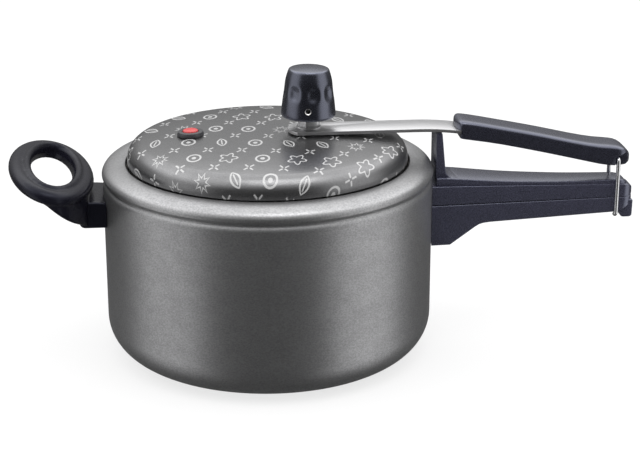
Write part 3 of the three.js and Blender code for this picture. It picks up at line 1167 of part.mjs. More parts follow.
function makeSafetyValve() {
  const valve = new THREE.Group();
  valve.position.copy(VALVE_BASE);
  valve.quaternion.setFromUnitVectors(vec3(0, 0, 1), VALVE_AXIS);
  cooker.add(valve);

  const flangeTop = FIT + VALVE_FLANGE_HEIGHT;
  const under = -LID_THICKNESS - FIT;
  const foot = under - VALVE_FOOT_HEIGHT;
  const seat = flangeTop - BUTTON_SEAT_DEPTH;
  const seatRadius = BUTTON_RADIUS + HOLE_FIT;
  const grommet = [
    vec2(VALVE_BORE_RADIUS, foot), vec2(VALVE_FOOT_RADIUS - 1, foot), vec2(VALVE_FOOT_RADIUS, foot + 1),
    vec2(VALVE_FOOT_RADIUS, under), vec2(VALVE_NECK_RADIUS, under), vec2(VALVE_NECK_RADIUS, FIT),
    vec2(VALVE_FLANGE_RADIUS, FIT), vec2(VALVE_FLANGE_RADIUS, FIT + 1), vec2(VALVE_FLANGE_RADIUS - 0.9, flangeTop - 0.3),
    vec2(VALVE_FLANGE_RADIUS - 1.8, flangeTop), vec2(seatRadius, flangeTop), vec2(seatRadius, seat),
    vec2(VALVE_BORE_RADIUS, seat), vec2(VALVE_BORE_RADIUS, foot),
  ];
  addPart('valve_grommet', revolve(grommet, SMALL_SIDES), darkRubber, valve);

  const base = seat + FIT;
  const top = flangeTop + BUTTON_PROUD;
  const footTop = foot - BUTTON_TRAVEL - FIT;
  const button = [
    vec2(0, footTop - BUTTON_FOOT_HEIGHT), vec2(BUTTON_FOOT_RADIUS - 1, footTop - BUTTON_FOOT_HEIGHT),
    vec2(BUTTON_FOOT_RADIUS, footTop - 0.8), vec2(BUTTON_FOOT_RADIUS, footTop), vec2(BUTTON_SHANK_RADIUS, footTop),
    vec2(BUTTON_SHANK_RADIUS, base), vec2(BUTTON_RADIUS, base), vec2(BUTTON_RADIUS, top - 1.1),
    vec2(BUTTON_RADIUS - 0.35, top - 0.4), vec2(BUTTON_RADIUS - 1.2, top), vec2(0, top + 0.1),
  ];
  addPart('safety_button', revolve(button, SMALL_SIDES), redSilicone, valve);
}

makePot();
makeLongHandle();
makeHelperHandle();
makeLidShell();
makeGasket();
makeBar();
makeGrip();
makeLoop();
makeVent();
makeVentFilter();
makeWeight();
makeSafetyValve();

export default cooker;
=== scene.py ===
"""A stovetop pressure cooker with a lever-held lid, finished around its fixed mechanical frame."""

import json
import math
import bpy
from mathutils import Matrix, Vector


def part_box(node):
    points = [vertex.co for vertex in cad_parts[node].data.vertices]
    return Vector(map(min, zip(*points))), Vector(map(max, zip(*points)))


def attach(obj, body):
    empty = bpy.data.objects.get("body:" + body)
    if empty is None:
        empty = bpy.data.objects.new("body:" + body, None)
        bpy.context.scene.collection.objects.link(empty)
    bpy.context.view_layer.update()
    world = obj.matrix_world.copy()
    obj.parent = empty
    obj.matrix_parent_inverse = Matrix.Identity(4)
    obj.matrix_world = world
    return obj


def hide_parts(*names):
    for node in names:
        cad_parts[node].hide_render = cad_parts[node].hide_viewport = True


bl_info = {
    "name": "Stovetop Pressure Cooker",
    "version": (1, 0, 0),
    "blender": (4, 5, 0),
    "location": "3D View > Sidebar > Cooker",
    "description": "Models and finishes the visible pieces of a lever-lid pressure cooker",
    "category": "Add Mesh",
}

from contextlib import contextmanager

import bpy
from bpy.props import FloatProperty, FloatVectorProperty, IntProperty, PointerProperty
from mathutils import Vector

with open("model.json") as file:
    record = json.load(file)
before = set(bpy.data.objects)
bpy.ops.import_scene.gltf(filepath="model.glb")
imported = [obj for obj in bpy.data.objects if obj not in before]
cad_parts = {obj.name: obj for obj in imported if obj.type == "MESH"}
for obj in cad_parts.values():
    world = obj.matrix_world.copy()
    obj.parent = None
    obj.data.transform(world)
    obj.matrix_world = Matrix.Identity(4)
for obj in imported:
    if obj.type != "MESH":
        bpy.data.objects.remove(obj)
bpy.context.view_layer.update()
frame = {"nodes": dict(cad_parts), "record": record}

MM = 0.001  # lengths below are millimetres unless a name says otherwise
WELD = 0.004  # points nearer than this are one point

# ------------------------------------------------------------------ places shared by several pieces

FIT = 0.3  # gap left between pieces that meet
MOUTH_RATIO = 0.975  # the mouth is a slight oval: its size along Y over its size along X
WALL_RADIUS = 110.0
MOUTH_RADIUS = 94.4
LIP_HEIGHT = 130.1
ROOT_RADIUS = 104.5  # radius inside the pot's shoulder at which the handles' blanks start
LID_WALL = 93.5  # radius of the lid's upright edge
LID_APEX = 148.8
LID_SAG = 1.7  # the dome's even fall from its middle to the knee
LID_SWEEP = 1.5  # its further fall close to the knee
KNEE_RADIUS = 12.0
KNEE_START = 82.0  # degrees from level at which the knee's arc takes over
KNEE_CENTRE = Vector((LID_WALL - KNEE_RADIUS, LID_APEX - LID_SAG - LID_SWEEP
                      - KNEE_RADIUS * math.sin(math.radians(KNEE_START))))
DOME_END = KNEE_CENTRE.x + KNEE_RADIUS * math.cos(math.radians(KNEE_START))
STEM_X = 27.5
STEM_BORE = 4.3  # radius of the holes that the vent stem passes through
BAR_TOP = 152.0
BAR_THICKNESS = 2.2
BAR_SLOPE = 0.19  # fall of the bar's far end
BAR_HALF, TANG_HALF, TANG_X = 12.0, 8.5, 128.5  # half widths, and where the tang starts
GRIP_START = 125.6
GRIP_LENGTH = 121.0
GRIP_HALF = 13.0
PIVOT = Vector((237.0, 0.0, 127.0))
WIRE_RADIUS = 1.4
LOOP_LOW = PIVOT.z - 40.1  # height of the wire's middle at the loop's feet
HANDLE_TIP = 249.9
PARTING_Z = 99.4  # height of the joint between the long handle's two halves
BEAD_PROUD = 0.8  # how far the bead under the lip stands past the pot's wall
HEAD_BORE, SHANK_BORE = 4.7, 2.5  # radii of the holes for the screws from below
HELPER_CENTRE = Vector((-143.3, 0.0, 126.8))
HELPER_TILT = math.radians(17.1)
HELPER_OVAL = (21.0, 51.5)  # half sizes of the helper loop's middle line
VALVE_BASE = Vector((-51.0, 2.0, 148.0))
VALVE_AXIS = Vector((-0.0234868, 0.0009211, 0.9997237))


# ------------------------------------------------------------------ settings a user would change


def colour(name, description, default):
    """A colour setting."""
    return FloatVectorProperty(name=name, description=description, subtype="COLOR", size=3,
                               min=0.0, max=1.0, default=default)


def length(name, description, default):
    """A setting for a length, in metres."""
    return FloatProperty(name=name, description=description, subtype="DISTANCE", unit="LENGTH",
                         default=default, min=0.0)


def level(name, description, default):
    """A setting for a brightness."""
    return FloatProperty(name=name, description=description, default=default, min=0.0)


class PotSettings(bpy.types.PropertyGroup):
    """Finish of the pot"""

    coat_colour: colour("Coat colour", "Colour of the pot's metallic coat", (0.30, 0.30, 0.305))
    coat_roughness: FloatProperty(name="Coat roughness", description="Roughness of the pot's coat",
                                  default=0.37, min=0.0, max=1.0)
    speckle_size: length("Speckle size", "Size of the fine mottling in the coat", 1.3 * MM)


class LidSettings(bpy.types.PropertyGroup):
    """Finish of the lid and its print"""

    coat_colour: colour("Lid colour", "Colour of the lid's painted coat", (0.18, 0.18, 0.183))
    print_colour: colour("Print colour", "Colour of the small printed figures", (0.44, 0.44, 0.44))
    print_pitch: length("Print pitch", "Distance between neighbouring figures in a row", 22.0 * MM)
    print_stretch: FloatProperty(name="Print stretch", description="Row spacing over figure pitch",
                                 default=1.45, min=0.5, max=2.0)


class HandleSettings(bpy.types.PropertyGroup):
    """Finish of the mouldings"""

    resin_colour: colour("Resin colour", "Colour of the moulded handles", (0.0290, 0.0287, 0.0460))
    edge_radius: length("Edge radius", "Rounding of the mouldings' edges", 1.3 * MM)


class MetalSettings(bpy.types.PropertyGroup):
    """Colours of the steel and the safety button"""

    steel_colour: colour("Steel colour", "Colour of the brushed bar", (0.74, 0.74, 0.75))
    button_colour: colour("Button colour", "Colour of the safety button", (0.80, 0.045, 0.05))


class StageSettings(bpy.types.PropertyGroup):
    """Light on the object"""

    key_power: level("Overhead power", "Watts of the lamp over the object", 2.5)
    left_level: level("Left panel", "Brightness of the tall panel on the left", 0.95)
    right_level: level("Right panel", "Brightness of the tall panel on the right", 1.15)
    back_level: level("Backdrop", "Brightness of the backdrop as the object sees it", 0.3)
    top_level: level("Top panel", "Brightness of the panel overhead", 1.85)
    room_level: level("Room", "Brightness of the rest of the room", 0.07)


# ------------------------------------------------------------------ modelling helpers


def activate(obj):
    """Makes one object the active one and the only one selected."""
    bpy.ops.object.select_all(action="DESELECT")
    obj.select_set(True)
    bpy.context.view_layer.objects.active = obj


@contextmanager
def editing(obj):
    """Edit mode on one object, with its whole mesh selected at first."""
    activate(obj)
    bpy.ops.object.mode_set(mode="EDIT")
    bpy.ops.mesh.select_all(action="SELECT")
    yield obj
    bpy.ops.object.mode_set(mode="OBJECT")


def select_only(obj, indices):
    """Selects some vertices of the mesh in edit mode, and nothing else of it."""
    bpy.ops.mesh.select_all(action="DESELECT")
    bpy.ops.object.mode_set(mode="OBJECT")
    for index in indices:
        obj.data.vertices[index].select = True
    bpy.ops.object.mode_set(mode="EDIT")


def face_outwards(weld=0.0):
    """Turns every face of the mesh in edit mode outwards, after merging doubles if asked."""
    bpy.ops.mesh.select_all(action="SELECT")
    if weld:
        bpy.ops.mesh.remove_doubles(threshold=weld * MM)
    bpy.ops.mesh.normals_make_consistent(inside=False)


def settle(obj):
    """Puts an object's place, turn and size into its mesh, so that it sits at the origin."""
    activate(obj)
    bpy.ops.object.transform_apply(location=True, rotation=True, scale=True)
    return obj


def stand(obj, place, direction):
    """Moves an object made upright at the origin to a place and points it along a direction."""
    obj.rotation_mode = "QUATERNION"
    obj.rotation_quaternion = Vector(direction).to_track_quat("Z", "Y")
    obj.location = Vector(place) * MM
    return settle(obj)


def draw_line(name, points, closed=False):
    """Draws edges through points, in millimetres: one vertex, extruded from place to place."""
    places = [Vector(point) * MM for point in points]
    bpy.ops.mesh.primitive_plane_add(size=MM, location=places[0])
    obj = bpy.context.object
    obj.name = name
    with editing(obj):
        bpy.ops.mesh.merge(type="CENTER")
        for here, there in zip(places, places[1:]):
            bpy.ops.mesh.extrude_vertices_move(TRANSFORM_OT_translate={"value": there - here})
        if closed:
            select_only(obj, (0, len(places) - 1))
            bpy.ops.mesh.edge_face_add()
    return settle(obj)


def arc(centre, radii, start, end, steps):
    """Points along an elliptical arc, angles in degrees."""
    turns = [math.radians(start + (end - start) * i / steps) for i in range(steps + 1)]
    return [(centre[0] + radii[0] * math.cos(t), centre[1] + radii[1] * math.sin(t)) for t in turns]


def flowing(points, spans=4):
    """A smooth line through points, with a few places added in each span."""
    ends = [points[0], *points, points[-1]]
    line = [points[0]]
    for a, b, c, d in zip(ends, ends[1:], ends[2:], ends[3:]):
        for i in range(1, spans + 1):
            t = i / spans
            weights = (-0.5 * t + t**2 - 0.5 * t**3, 1 - 2.5 * t**2 + 1.5 * t**3,
                       0.5 * t + 2 * t**2 - 1.5 * t**3, -0.5 * t**2 + 0.5 * t**3)
            line.append(tuple(sum(w * p[k] for w, p in zip(weights, (a, b, c, d))) for k in (0, 1)))
    return line


def turned(name, profile, x=0.0, steps=96, ring=False):
    """Spins an (r, z) profile round an upright axis at a distance along X."""
    obj = draw_line(name, [(x + r, 0, z) for r, z in profile], closed=ring)
    with editing(obj):
        bpy.ops.mesh.spin(steps=steps, angle=2 * math.pi, center=(x * MM, 0, 0), axis=(0, 0, 1))
        face_outwards(weld=WELD)
    return obj


def extruded(name, outline, direction):
    """Fills a closed outline and extrudes it along a direction, all in millimetres."""
    obj = draw_line(name, outline, closed=True)
    with editing(obj):
        bpy.ops.mesh.edge_face_add()
        bpy.ops.mesh.extrude_region_move(TRANSFORM_OT_translate={"value": Vector(direction) * MM})
        face_outwards()
    return obj


def side_cut(name, outline, half_width):
    """A side view (x, z) extruded to both sides."""
    return extruded(name, [(x, -half_width, z) for x, z in outline], (0, 2 * half_width, 0))


def plan_cut(name, outline, low, high):
    """A plan view (x, y) extruded upwards."""
    return extruded(name, [(x, y, low) for x, y in outline], (0, 0, high - low))


def lofted(name, sections):
    """Bridges a row of closed sections and closes both ends."""
    obj = joined([draw_line(name, section, closed=True) for section in sections])
    obj.name = name
    with editing(obj):
        bpy.ops.mesh.bridge_edge_loops()
        bpy.ops.mesh.select_all(action="DESELECT")
        bpy.ops.mesh.select_mode(type="EDGE")
        bpy.ops.mesh.select_non_manifold()
        bpy.ops.mesh.fill_holes(sides=0)
        bpy.ops.mesh.select_mode(type="VERT")
        face_outwards()
    return obj


def joined(objects):
    """Joins objects into the first one, as loose parts of one mesh."""
    activate(objects[0])
    for obj in objects:
        obj.select_set(True)
    bpy.ops.object.join()
    return objects[0]


def finish_modifier(obj, kind, **settings):
    """Adds a modifier, sets it and applies it."""
    activate(obj)
    modifier = obj.modifiers.new(kind.title(), kind)
    for key, value in settings.items():
        setattr(modifier, key, value)
    bpy.ops.object.modifier_apply(modifier=modifier.name)
    return obj


def combine(obj, tool, operation):
    """Adds, cuts or intersects a second solid, which is used up."""
    finish_modifier(obj, "BOOLEAN", object=tool, operation=operation, solver="EXACT")
    bpy.data.objects.remove(tool)
    return obj


def cut(obj, *tools):
    """Cuts solids out of a piece, one after another."""
    for tool in tools:
        combine(obj, tool, "DIFFERENCE")
    return obj


def rounded(obj, radius, segments=3, angle=35.0):
    """Rounds the edges that turn by more than an angle."""
    return finish_modifier(obj, "BEVEL", width=radius, segments=segments, limit_method="ANGLE",
                           angle_limit=math.radians(angle), use_clamp_overlap=True)


def rod(name, radius, start, end, sides=32):
    """A round bar between two points, in millimetres."""
    axis = Vector(end) - Vector(start)
    middle = (Vector(start) + Vector(end)) / 2
    bpy.ops.mesh.primitive_cylinder_add(vertices=sides, radius=radius * MM, depth=axis.length * MM,
                                        location=middle * MM,
                                        rotation=axis.to_track_quat("Z", "Y").to_euler())
    bpy.context.object.name = name
    return settle(bpy.context.object)


def box(name, low, high):
    """A block between two corners, in millimetres, for cutting with."""
    size = Vector(high) - Vector(low)
    bpy.ops.mesh.primitive_cube_add(size=1, location=(Vector(low) + Vector(high)) / 2 * MM,
                                    scale=size * MM)
    bpy.context.object.name = name
    return settle(bpy.context.object)


def fit_to_pot(handle, low):
    """Hollows a handle's root from a height upwards, so that it lies round the pot's wall and bead."""
    wall_top, bead_top = 118, 133.5
    cut(handle, rod("wall", WALL_RADIUS + FIT, (0, 0, low), (0, 0, wall_top), sides=256),
        rod("bead", WALL_RADIUS + BEAD_PROUD + FIT, (0, 0, wall_top - 1), (0, 0, bead_top), sides=256))


def give(obj, material, body, slot, *nodes, smooth=35.0):
    """Finishes a piece: shading, material, the body it rides on and the frame nodes it stands for."""
    activate(obj)
    bpy.ops.object.shade_smooth_by_angle(angle=math.radians(smooth))
    settle(obj)
    obj.data.materials.clear()
    obj.data.materials.append(bpy.data.materials[material])
    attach(obj, body)
    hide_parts(*nodes)


# ------------------------------------------------------------------ node helpers


class Graph:
    """A short way to add and wire shader nodes in a material or a group."""

    def __init__(self, tree):
        self.tree = tree

    def add(self, kind, **settings):
        """A new node with some of its settings set."""
        node = self.tree.nodes.new(kind)
        for key, value in settings.items():
            setattr(node, key, value)
        return node

    def wire(self, source, target):
        """Links a socket to a target socket, or writes a plain value there."""
        if isinstance(source, bpy.types.NodeSocket):
            self.tree.links.new(source, target)
        else:
            target.default_value = source

    def math(self, operation, *values, clamp=False):
        """The result of a sum or function of sockets and numbers."""
        node = self.add("ShaderNodeMath", operation=operation, use_clamp=clamp)
        for socket, value in zip(node.inputs, values):
            self.wire(value, socket)
        return node.outputs[0]

    def steps(self, value, low, high, out_low=0.0, out_high=1.0):
        """A smooth ramp from one value to another."""
        node = self.add("ShaderNodeMapRange", interpolation_type="SMOOTHSTEP")
        for key, item in (("Value", value), ("From Min", low), ("From Max", high),
                          ("To Min", out_low), ("To Max", out_high)):
            self.wire(item, node.inputs[key])
        return node.outputs[0]

    def noise(self, vector, scale, detail=2.0, roughness=0.5):
        """Noise at a place, from 0 to 1."""
        node = self.add("ShaderNodeTexNoise")
        self.wire(vector, node.inputs["Vector"])
        self.wire(scale, node.inputs["Scale"])
        node.inputs["Detail"].default_value = detail
        node.inputs["Roughness"].default_value = roughness
        return node.outputs["Fac"]

    def tint(self, factor, first, second):
        """A colour between two colours."""
        node = self.add("ShaderNodeMix", data_type="RGBA")
        self.wire(factor, node.inputs[0])
        self.wire(first, node.inputs[6])
        self.wire(second, node.inputs[7])
        return node.outputs[2]


def new_group(name, inputs, outputs):
    """A shader node group with named sockets: (name, kind, default)."""
    tree = bpy.data.node_groups.new(name, "ShaderNodeTree")
    for label, kind, default in inputs:
        socket = tree.interface.new_socket(label, in_out="INPUT", socket_type=kind)
        if default is not None:
            socket.default_value = default
    for label, kind in outputs:
        tree.interface.new_socket(label, in_out="OUTPUT", socket_type=kind)
    graph = Graph(tree)
    return tree, graph, graph.add("NodeGroupInput"), graph.add("NodeGroupOutput")


VECTOR, VALUE = "NodeSocketVector", "NodeSocketFloat"
PRINT_TURN = math.radians(10)  # turn of the print's rows about the lid's middle
STAGGER = 0.37  # how far each row of figures is shifted from the last, in shares of the pitch


def make_mottle_group():
    """Fine uneven mottling: a mask round 0.5 and a height for bump."""
    tree, g, given, result = new_group(
        "Mottle",
        [("Vector", VECTOR, None), ("Size", VALUE, 0.001), ("Streak", VALUE, 1.0)],
        [("Mask", VALUE), ("Height", VALUE)],
    )
    scale = g.math("DIVIDE", 1.0, given.outputs["Size"])
    stretch = g.add("ShaderNodeVectorMath", operation="MULTIPLY")
    across = g.add("ShaderNodeCombineXYZ")
    across.inputs[0].default_value = across.inputs[1].default_value = 1.0
    g.wire(given.outputs["Streak"], across.inputs[2])
    g.wire(given.outputs["Vector"], stretch.inputs[0])
    g.wire(across.outputs[0], stretch.inputs[1])
    fine = g.noise(stretch.outputs[0], scale, detail=3.0, roughness=0.65)
    broad = g.noise(stretch.outputs[0], g.math("MULTIPLY", scale, 0.09), detail=2.0)
    g.wire(g.math("ADD", g.math("MULTIPLY", fine, 0.8), g.math("MULTIPLY", broad, 0.2)),
           result.inputs["Mask"])
    g.wire(fine, result.inputs["Height"])
    return tree


def make_brushed_group():
    """Fine lines along one axis: a mask for roughness and a height for bump."""
    tree, g, given, result = new_group(
        "Brushed lines",
        [("Vector", VECTOR, None), ("Along", VECTOR, (60.0, 4000.0, 4000.0))],
        [("Mask", VALUE), ("Height", VALUE)],
    )
    stretch = g.add("ShaderNodeVectorMath", operation="MULTIPLY")
    g.wire(given.outputs["Vector"], stretch.inputs[0])
    g.wire(given.outputs["Along"], stretch.inputs[1])
    lines = g.noise(stretch.outputs[0], 1.0, detail=3.0, roughness=0.7)
    g.wire(lines, result.inputs["Mask"])
    g.wire(lines, result.inputs["Height"])
    return tree


def make_print_group():
    """Small printed figures in staggered rows, laid over the dome by the distance along its skin."""
    tree, g, given, result = new_group(
        "Dome print",
        [("Vector", VECTOR, None), ("Pitch", VALUE, 0.022), ("Stretch", VALUE, 1.45)],
        [("Mask", VALUE)],
    )
    m = g.math
    turned_lid = g.add("ShaderNodeVectorRotate", rotation_type="Z_AXIS")
    turned_lid.inputs["Angle"].default_value = PRINT_TURN
    g.wire(given.outputs["Vector"], turned_lid.inputs["Vector"])
    split = g.add("ShaderNodeSeparateXYZ")
    g.wire(turned_lid.outputs[0], split.inputs[0])
    x, y, z = split.outputs

    # distance along the dome's skin from its middle, over the plan radius
    radius = m("SQRT", m("ADD", m("MULTIPLY", x, x), m("MULTIPLY", y, y)))
    past_knee = m("MAXIMUM", m("SUBTRACT", radius, KNEE_CENTRE.x * MM), 0.0)
    above = m("MAXIMUM", m("SUBTRACT", z, KNEE_CENTRE.y * MM), 0.0)
    turn = m("ARCTAN2", past_knee, m("MAXIMUM", above, 1e-6))
    below = m("MAXIMUM", m("SUBTRACT", KNEE_CENTRE.y * MM, z), 0.0)
    skin = m("ADD", m("ADD", m("MINIMUM", radius, KNEE_CENTRE.x * MM),
                      m("MULTIPLY", turn, KNEE_RADIUS * MM)), below)
    spread = m("DIVIDE", skin, m("MAXIMUM", radius, 1e-5))
    u = m("DIVIDE", m("MULTIPLY", x, spread), given.outputs["Pitch"])
    tall = m("MULTIPLY", given.outputs["Pitch"], given.outputs["Stretch"])
    v = m("DIVIDE", m("MULTIPLY", y, spread), tall)

    def cell(offset_u, offset_v, stagger):
        """Place within a cell from -0.5 to 0.5, and the cell's own numbers."""
        row_value = m("ADD", v, offset_v)
        row = m("FLOOR", row_value)
        shifted = m("ADD", m("ADD", u, offset_u), m("MULTIPLY", row, stagger))
        column = m("FLOOR", shifted)
        place_u = m("SUBTRACT", m("SUBTRACT", shifted, column), 0.5)
        place_v = m("SUBTRACT", m("SUBTRACT", row_value, row), 0.5)
        return place_u, place_v, column, row

    def polar(place_u, place_v, turned_by=0.0):
        """Distance from a cell's middle, and the direction from it."""
        rho = m("SQRT", m("ADD", m("MULTIPLY", place_u, place_u), m("MULTIPLY", place_v, place_v)))
        angle = m("ADD", m("ARCTAN2", place_v, place_u), turned_by)
        return rho, angle

    def stroke(distance, half, soft=0.008):
        """A line with soft edges along a distance of nothing."""
        return g.steps(m("ABSOLUTE", distance), half, half + soft, 1.0, 0.0)

    # large figures, sized in shares of the pitch; each one's number picks its kind and its lean
    pu, pv, column, row = cell(0.13, 0.21, STAGGER)
    pick = g.add("ShaderNodeTexWhiteNoise", noise_dimensions="2D")
    spot = g.add("ShaderNodeCombineXYZ")
    g.wire(column, spot.inputs[0])
    g.wire(row, spot.inputs[1])
    g.wire(spot.outputs[0], pick.inputs["Vector"])
    chance = pick.outputs["Value"]
    rho, angle = polar(pu, pv, m("MULTIPLY", m("SUBTRACT", chance, 0.5), 9.0))

    petals, blossom_radius, petal_depth = 5.0, 0.21, 0.06
    petal = m("MULTIPLY", m("COSINE", m("MULTIPLY", angle, petals)), petal_depth)
    blossom = stroke(m("SUBTRACT", rho, m("ADD", blossom_radius, petal)), 0.024)

    ring_radius, dot_radius = 0.19, 0.06
    dot = g.steps(rho, dot_radius, dot_radius + 0.015, 1.0, 0.0)
    ring = m("MAXIMUM", stroke(m("SUBTRACT", rho, ring_radius), 0.026), dot)

    leaf_half, leaf_taper, leaf_reach, vein_reach = 0.13, 2.1, 0.25, 0.16
    along = m("MULTIPLY", rho, m("COSINE", angle))
    across = m("ABSOLUTE", m("MULTIPLY", rho, m("SINE", angle)))
    leaf_edge = m("SUBTRACT", leaf_half, m("MULTIPLY", m("MULTIPLY", along, along), leaf_taper))
    far = m("ABSOLUTE", along)
    vein = m("MULTIPLY", stroke(across, 0.016), g.steps(far, vein_reach, vein_reach + 0.01, 1.0, 0.0))
    leaf = m("MULTIPLY", m("MAXIMUM", stroke(m("SUBTRACT", across, leaf_edge), 0.023), vein),
             g.steps(far, leaf_reach, leaf_reach + 0.012, 1.0, 0.0))

    half_arms, star_radius, star_depth = 4.0, 0.27, 0.15
    swing = m("ABSOLUTE", m("SINE", m("MULTIPLY", angle, half_arms)))
    star_edge = m("SUBTRACT", star_radius, m("MULTIPLY", m("POWER", swing, 0.6), star_depth))
    star = stroke(m("SUBTRACT", rho, star_edge), 0.021)

    def chosen(low, high, figure):
        """A figure where its cell's number lies between two values."""
        window = m("MULTIPLY", m("GREATER_THAN", chance, low), m("LESS_THAN", chance, high))
        return m("MULTIPLY", window, figure)

    large = m("ADD", m("ADD", chosen(-1, 0.3, blossom), chosen(0.3, 0.52, ring)),
              m("ADD", chosen(0.52, 0.76, leaf), chosen(0.76, 2, star)))

    # small crosses halfway between the large figures
    su, sv, _, _ = cell(0.445, 0.71, STAGGER)
    arm_start, arm_end, arm_half = 0.045, 0.175, 0.042
    small_rho, small_angle = polar(su, sv)
    twice = m("MULTIPLY", small_angle, 2.0)
    arm = m("MULTIPLY", small_rho, m("ABSOLUTE", m("SINE", twice)))
    away = m("MULTIPLY", small_rho, m("ABSOLUTE", m("COSINE", twice)))
    reach = m("MULTIPLY", g.steps(arm, arm_start - 0.015, arm_start),
              g.steps(arm, arm_end, arm_end + 0.015, 1.0, 0.0))
    small = m("MULTIPLY", reach, g.steps(away, arm_half, arm_half + 0.014, 1.0, 0.0))

    # the print ends where the lid's skin meets its edge
    on_skin = g.steps(z, (LIP_HEIGHT + 0.9) * MM, (LIP_HEIGHT + 1.2) * MM)
    g.wire(m("MULTIPLY", m("MAXIMUM", large, small), on_skin, clamp=True), result.inputs["Mask"])
    return tree


def new_material(name):
    """A new material's graph, its shader, and the place on the piece that its patterns read."""
    material = bpy.data.materials.new(name)
    material.use_nodes = True
    graph = Graph(material.node_tree)
    shader = material.node_tree.nodes["Principled BSDF"]
    return graph, shader, graph.add("ShaderNodeTexCoord").outputs["Object"]


def use_group(graph, name, **values):
    """Places a node group with its own input values, and returns its outputs."""
    node = graph.add("ShaderNodeGroup", node_tree=bpy.data.node_groups[name])
    for key, value in values.items():
        graph.wire(value, node.inputs[key])
    return node.outputs


def bump(graph, shader, height, strength, distance):
    """Turns a height into fine relief on a shader."""
    node = graph.add("ShaderNodeBump")
    node.inputs["Strength"].default_value = strength
    node.inputs["Distance"].default_value = distance
    graph.wire(height, node.inputs["Height"])
    graph.wire(node.outputs["Normal"], shader.inputs["Normal"])


def shade(rgb, factor):
    """A colour made lighter or darker by a factor, with its alpha."""
    return tuple(min(1.0, c * factor) for c in rgb) + (1.0,)


def vary(g, shader, mask, rgb, tones, roughness, low=0.3, high=0.7):
    """Lets a mask take the colour from one tone to another, and the roughness with it."""
    base = g.tint(g.steps(mask, low, high), *(shade(rgb, tone) for tone in tones))
    g.wire(base, shader.inputs["Base Color"])
    g.wire(g.steps(mask, 0.3, 0.7, *roughness), shader.inputs["Roughness"])


def make_pot_coat(settings):
    """Matt metallic coat: fine mottling, drawn out a little along the wall's height."""
    g, shader, place = new_material("pot_coat")
    mottle = use_group(g, "Mottle", Vector=place, Size=settings.speckle_size, Streak=1.6)
    rough = settings.coat_roughness
    vary(g, shader, mottle["Mask"], settings.coat_colour, (0.82, 1.18), (rough + 0.05, rough - 0.04),
         0.32, 0.68)
    shader.inputs["Metallic"].default_value = 0.9
    bump(g, shader, mottle["Height"], strength=0.3, distance=0.16 * MM)


def make_lid_coat(settings):
    """Darker metallic coat with the small light figures printed on it."""
    g, shader, place = new_material("lid_coat")
    mottle = use_group(g, "Mottle", Vector=place, Size=0.7 * MM, Streak=1.0)
    printed = use_group(g, "Dome print", Vector=place, Pitch=settings.print_pitch,
                        Stretch=settings.print_stretch)["Mask"]
    coat = g.tint(g.steps(mottle["Mask"], 0.32, 0.68), shade(settings.coat_colour, 0.85),
                  shade(settings.coat_colour, 1.15))
    g.wire(g.tint(printed, coat, shade(settings.print_colour, 1.0)), shader.inputs["Base Color"])
    coat_metallic, ink_metallic = shade((0.92,) * 3, 1.0), shade((0.15,) * 3, 1.0)
    g.wire(g.tint(printed, coat_metallic, ink_metallic), shader.inputs["Metallic"])
    g.wire(g.steps(mottle["Mask"], 0.3, 0.7, 0.33, 0.27), shader.inputs["Roughness"])
    relief = g.math("ADD", g.math("MULTIPLY", mottle["Height"], 0.35), g.math("MULTIPLY", printed, 0.4))
    bump(g, shader, relief, strength=0.2, distance=0.08 * MM)


def make_moulded(name, rgb, roughness, tones, size, grain, depth):
    """Plastic or rubber from a mould: a faint cloudiness and a very fine grain."""
    g, shader, place = new_material(name)
    mottle = use_group(g, "Mottle", Vector=place, Size=size * MM, Streak=1.0)
    vary(g, shader, mottle["Mask"], rgb, tones, (roughness + 0.05, roughness - 0.05))
    bump(g, shader, mottle["Height"], strength=grain, distance=depth * MM)
    return shader


def make_resin(name, rgb, roughness, grain, gloss, index=1.5):
    """Moulded phenolic resin, with a cool sheen."""
    shader = make_moulded(name, rgb, roughness, (0.8, 1.25), size=0.55, grain=grain, depth=0.06)
    shader.inputs["Specular IOR Level"].default_value = gloss
    shader.inputs["IOR"].default_value = index
    shader.inputs["Specular Tint"].default_value = (0.76, 0.80, 1.0, 1.0)


def make_silicone(name, rgb, roughness):
    """Soft rubber of the seal, the valve's ring and its button."""
    make_moulded(name, rgb, roughness, (0.9, 1.08), size=0.8, grain=0.12, depth=0.05)


def make_steel(name, rgb, roughness, along, grain=0.1):
    """Metal with fine lines along one direction."""
    g, shader, place = new_material(name)
    lines = use_group(g, "Brushed lines", Vector=place, Along=along)
    vary(g, shader, lines["Mask"], rgb, (0.9, 1.06), (roughness + 0.06, roughness - 0.04))
    shader.inputs["Metallic"].default_value = 1.0
    bump(g, shader, lines["Height"], strength=grain, distance=0.03 * MM)


# ------------------------------------------------------------------ operators


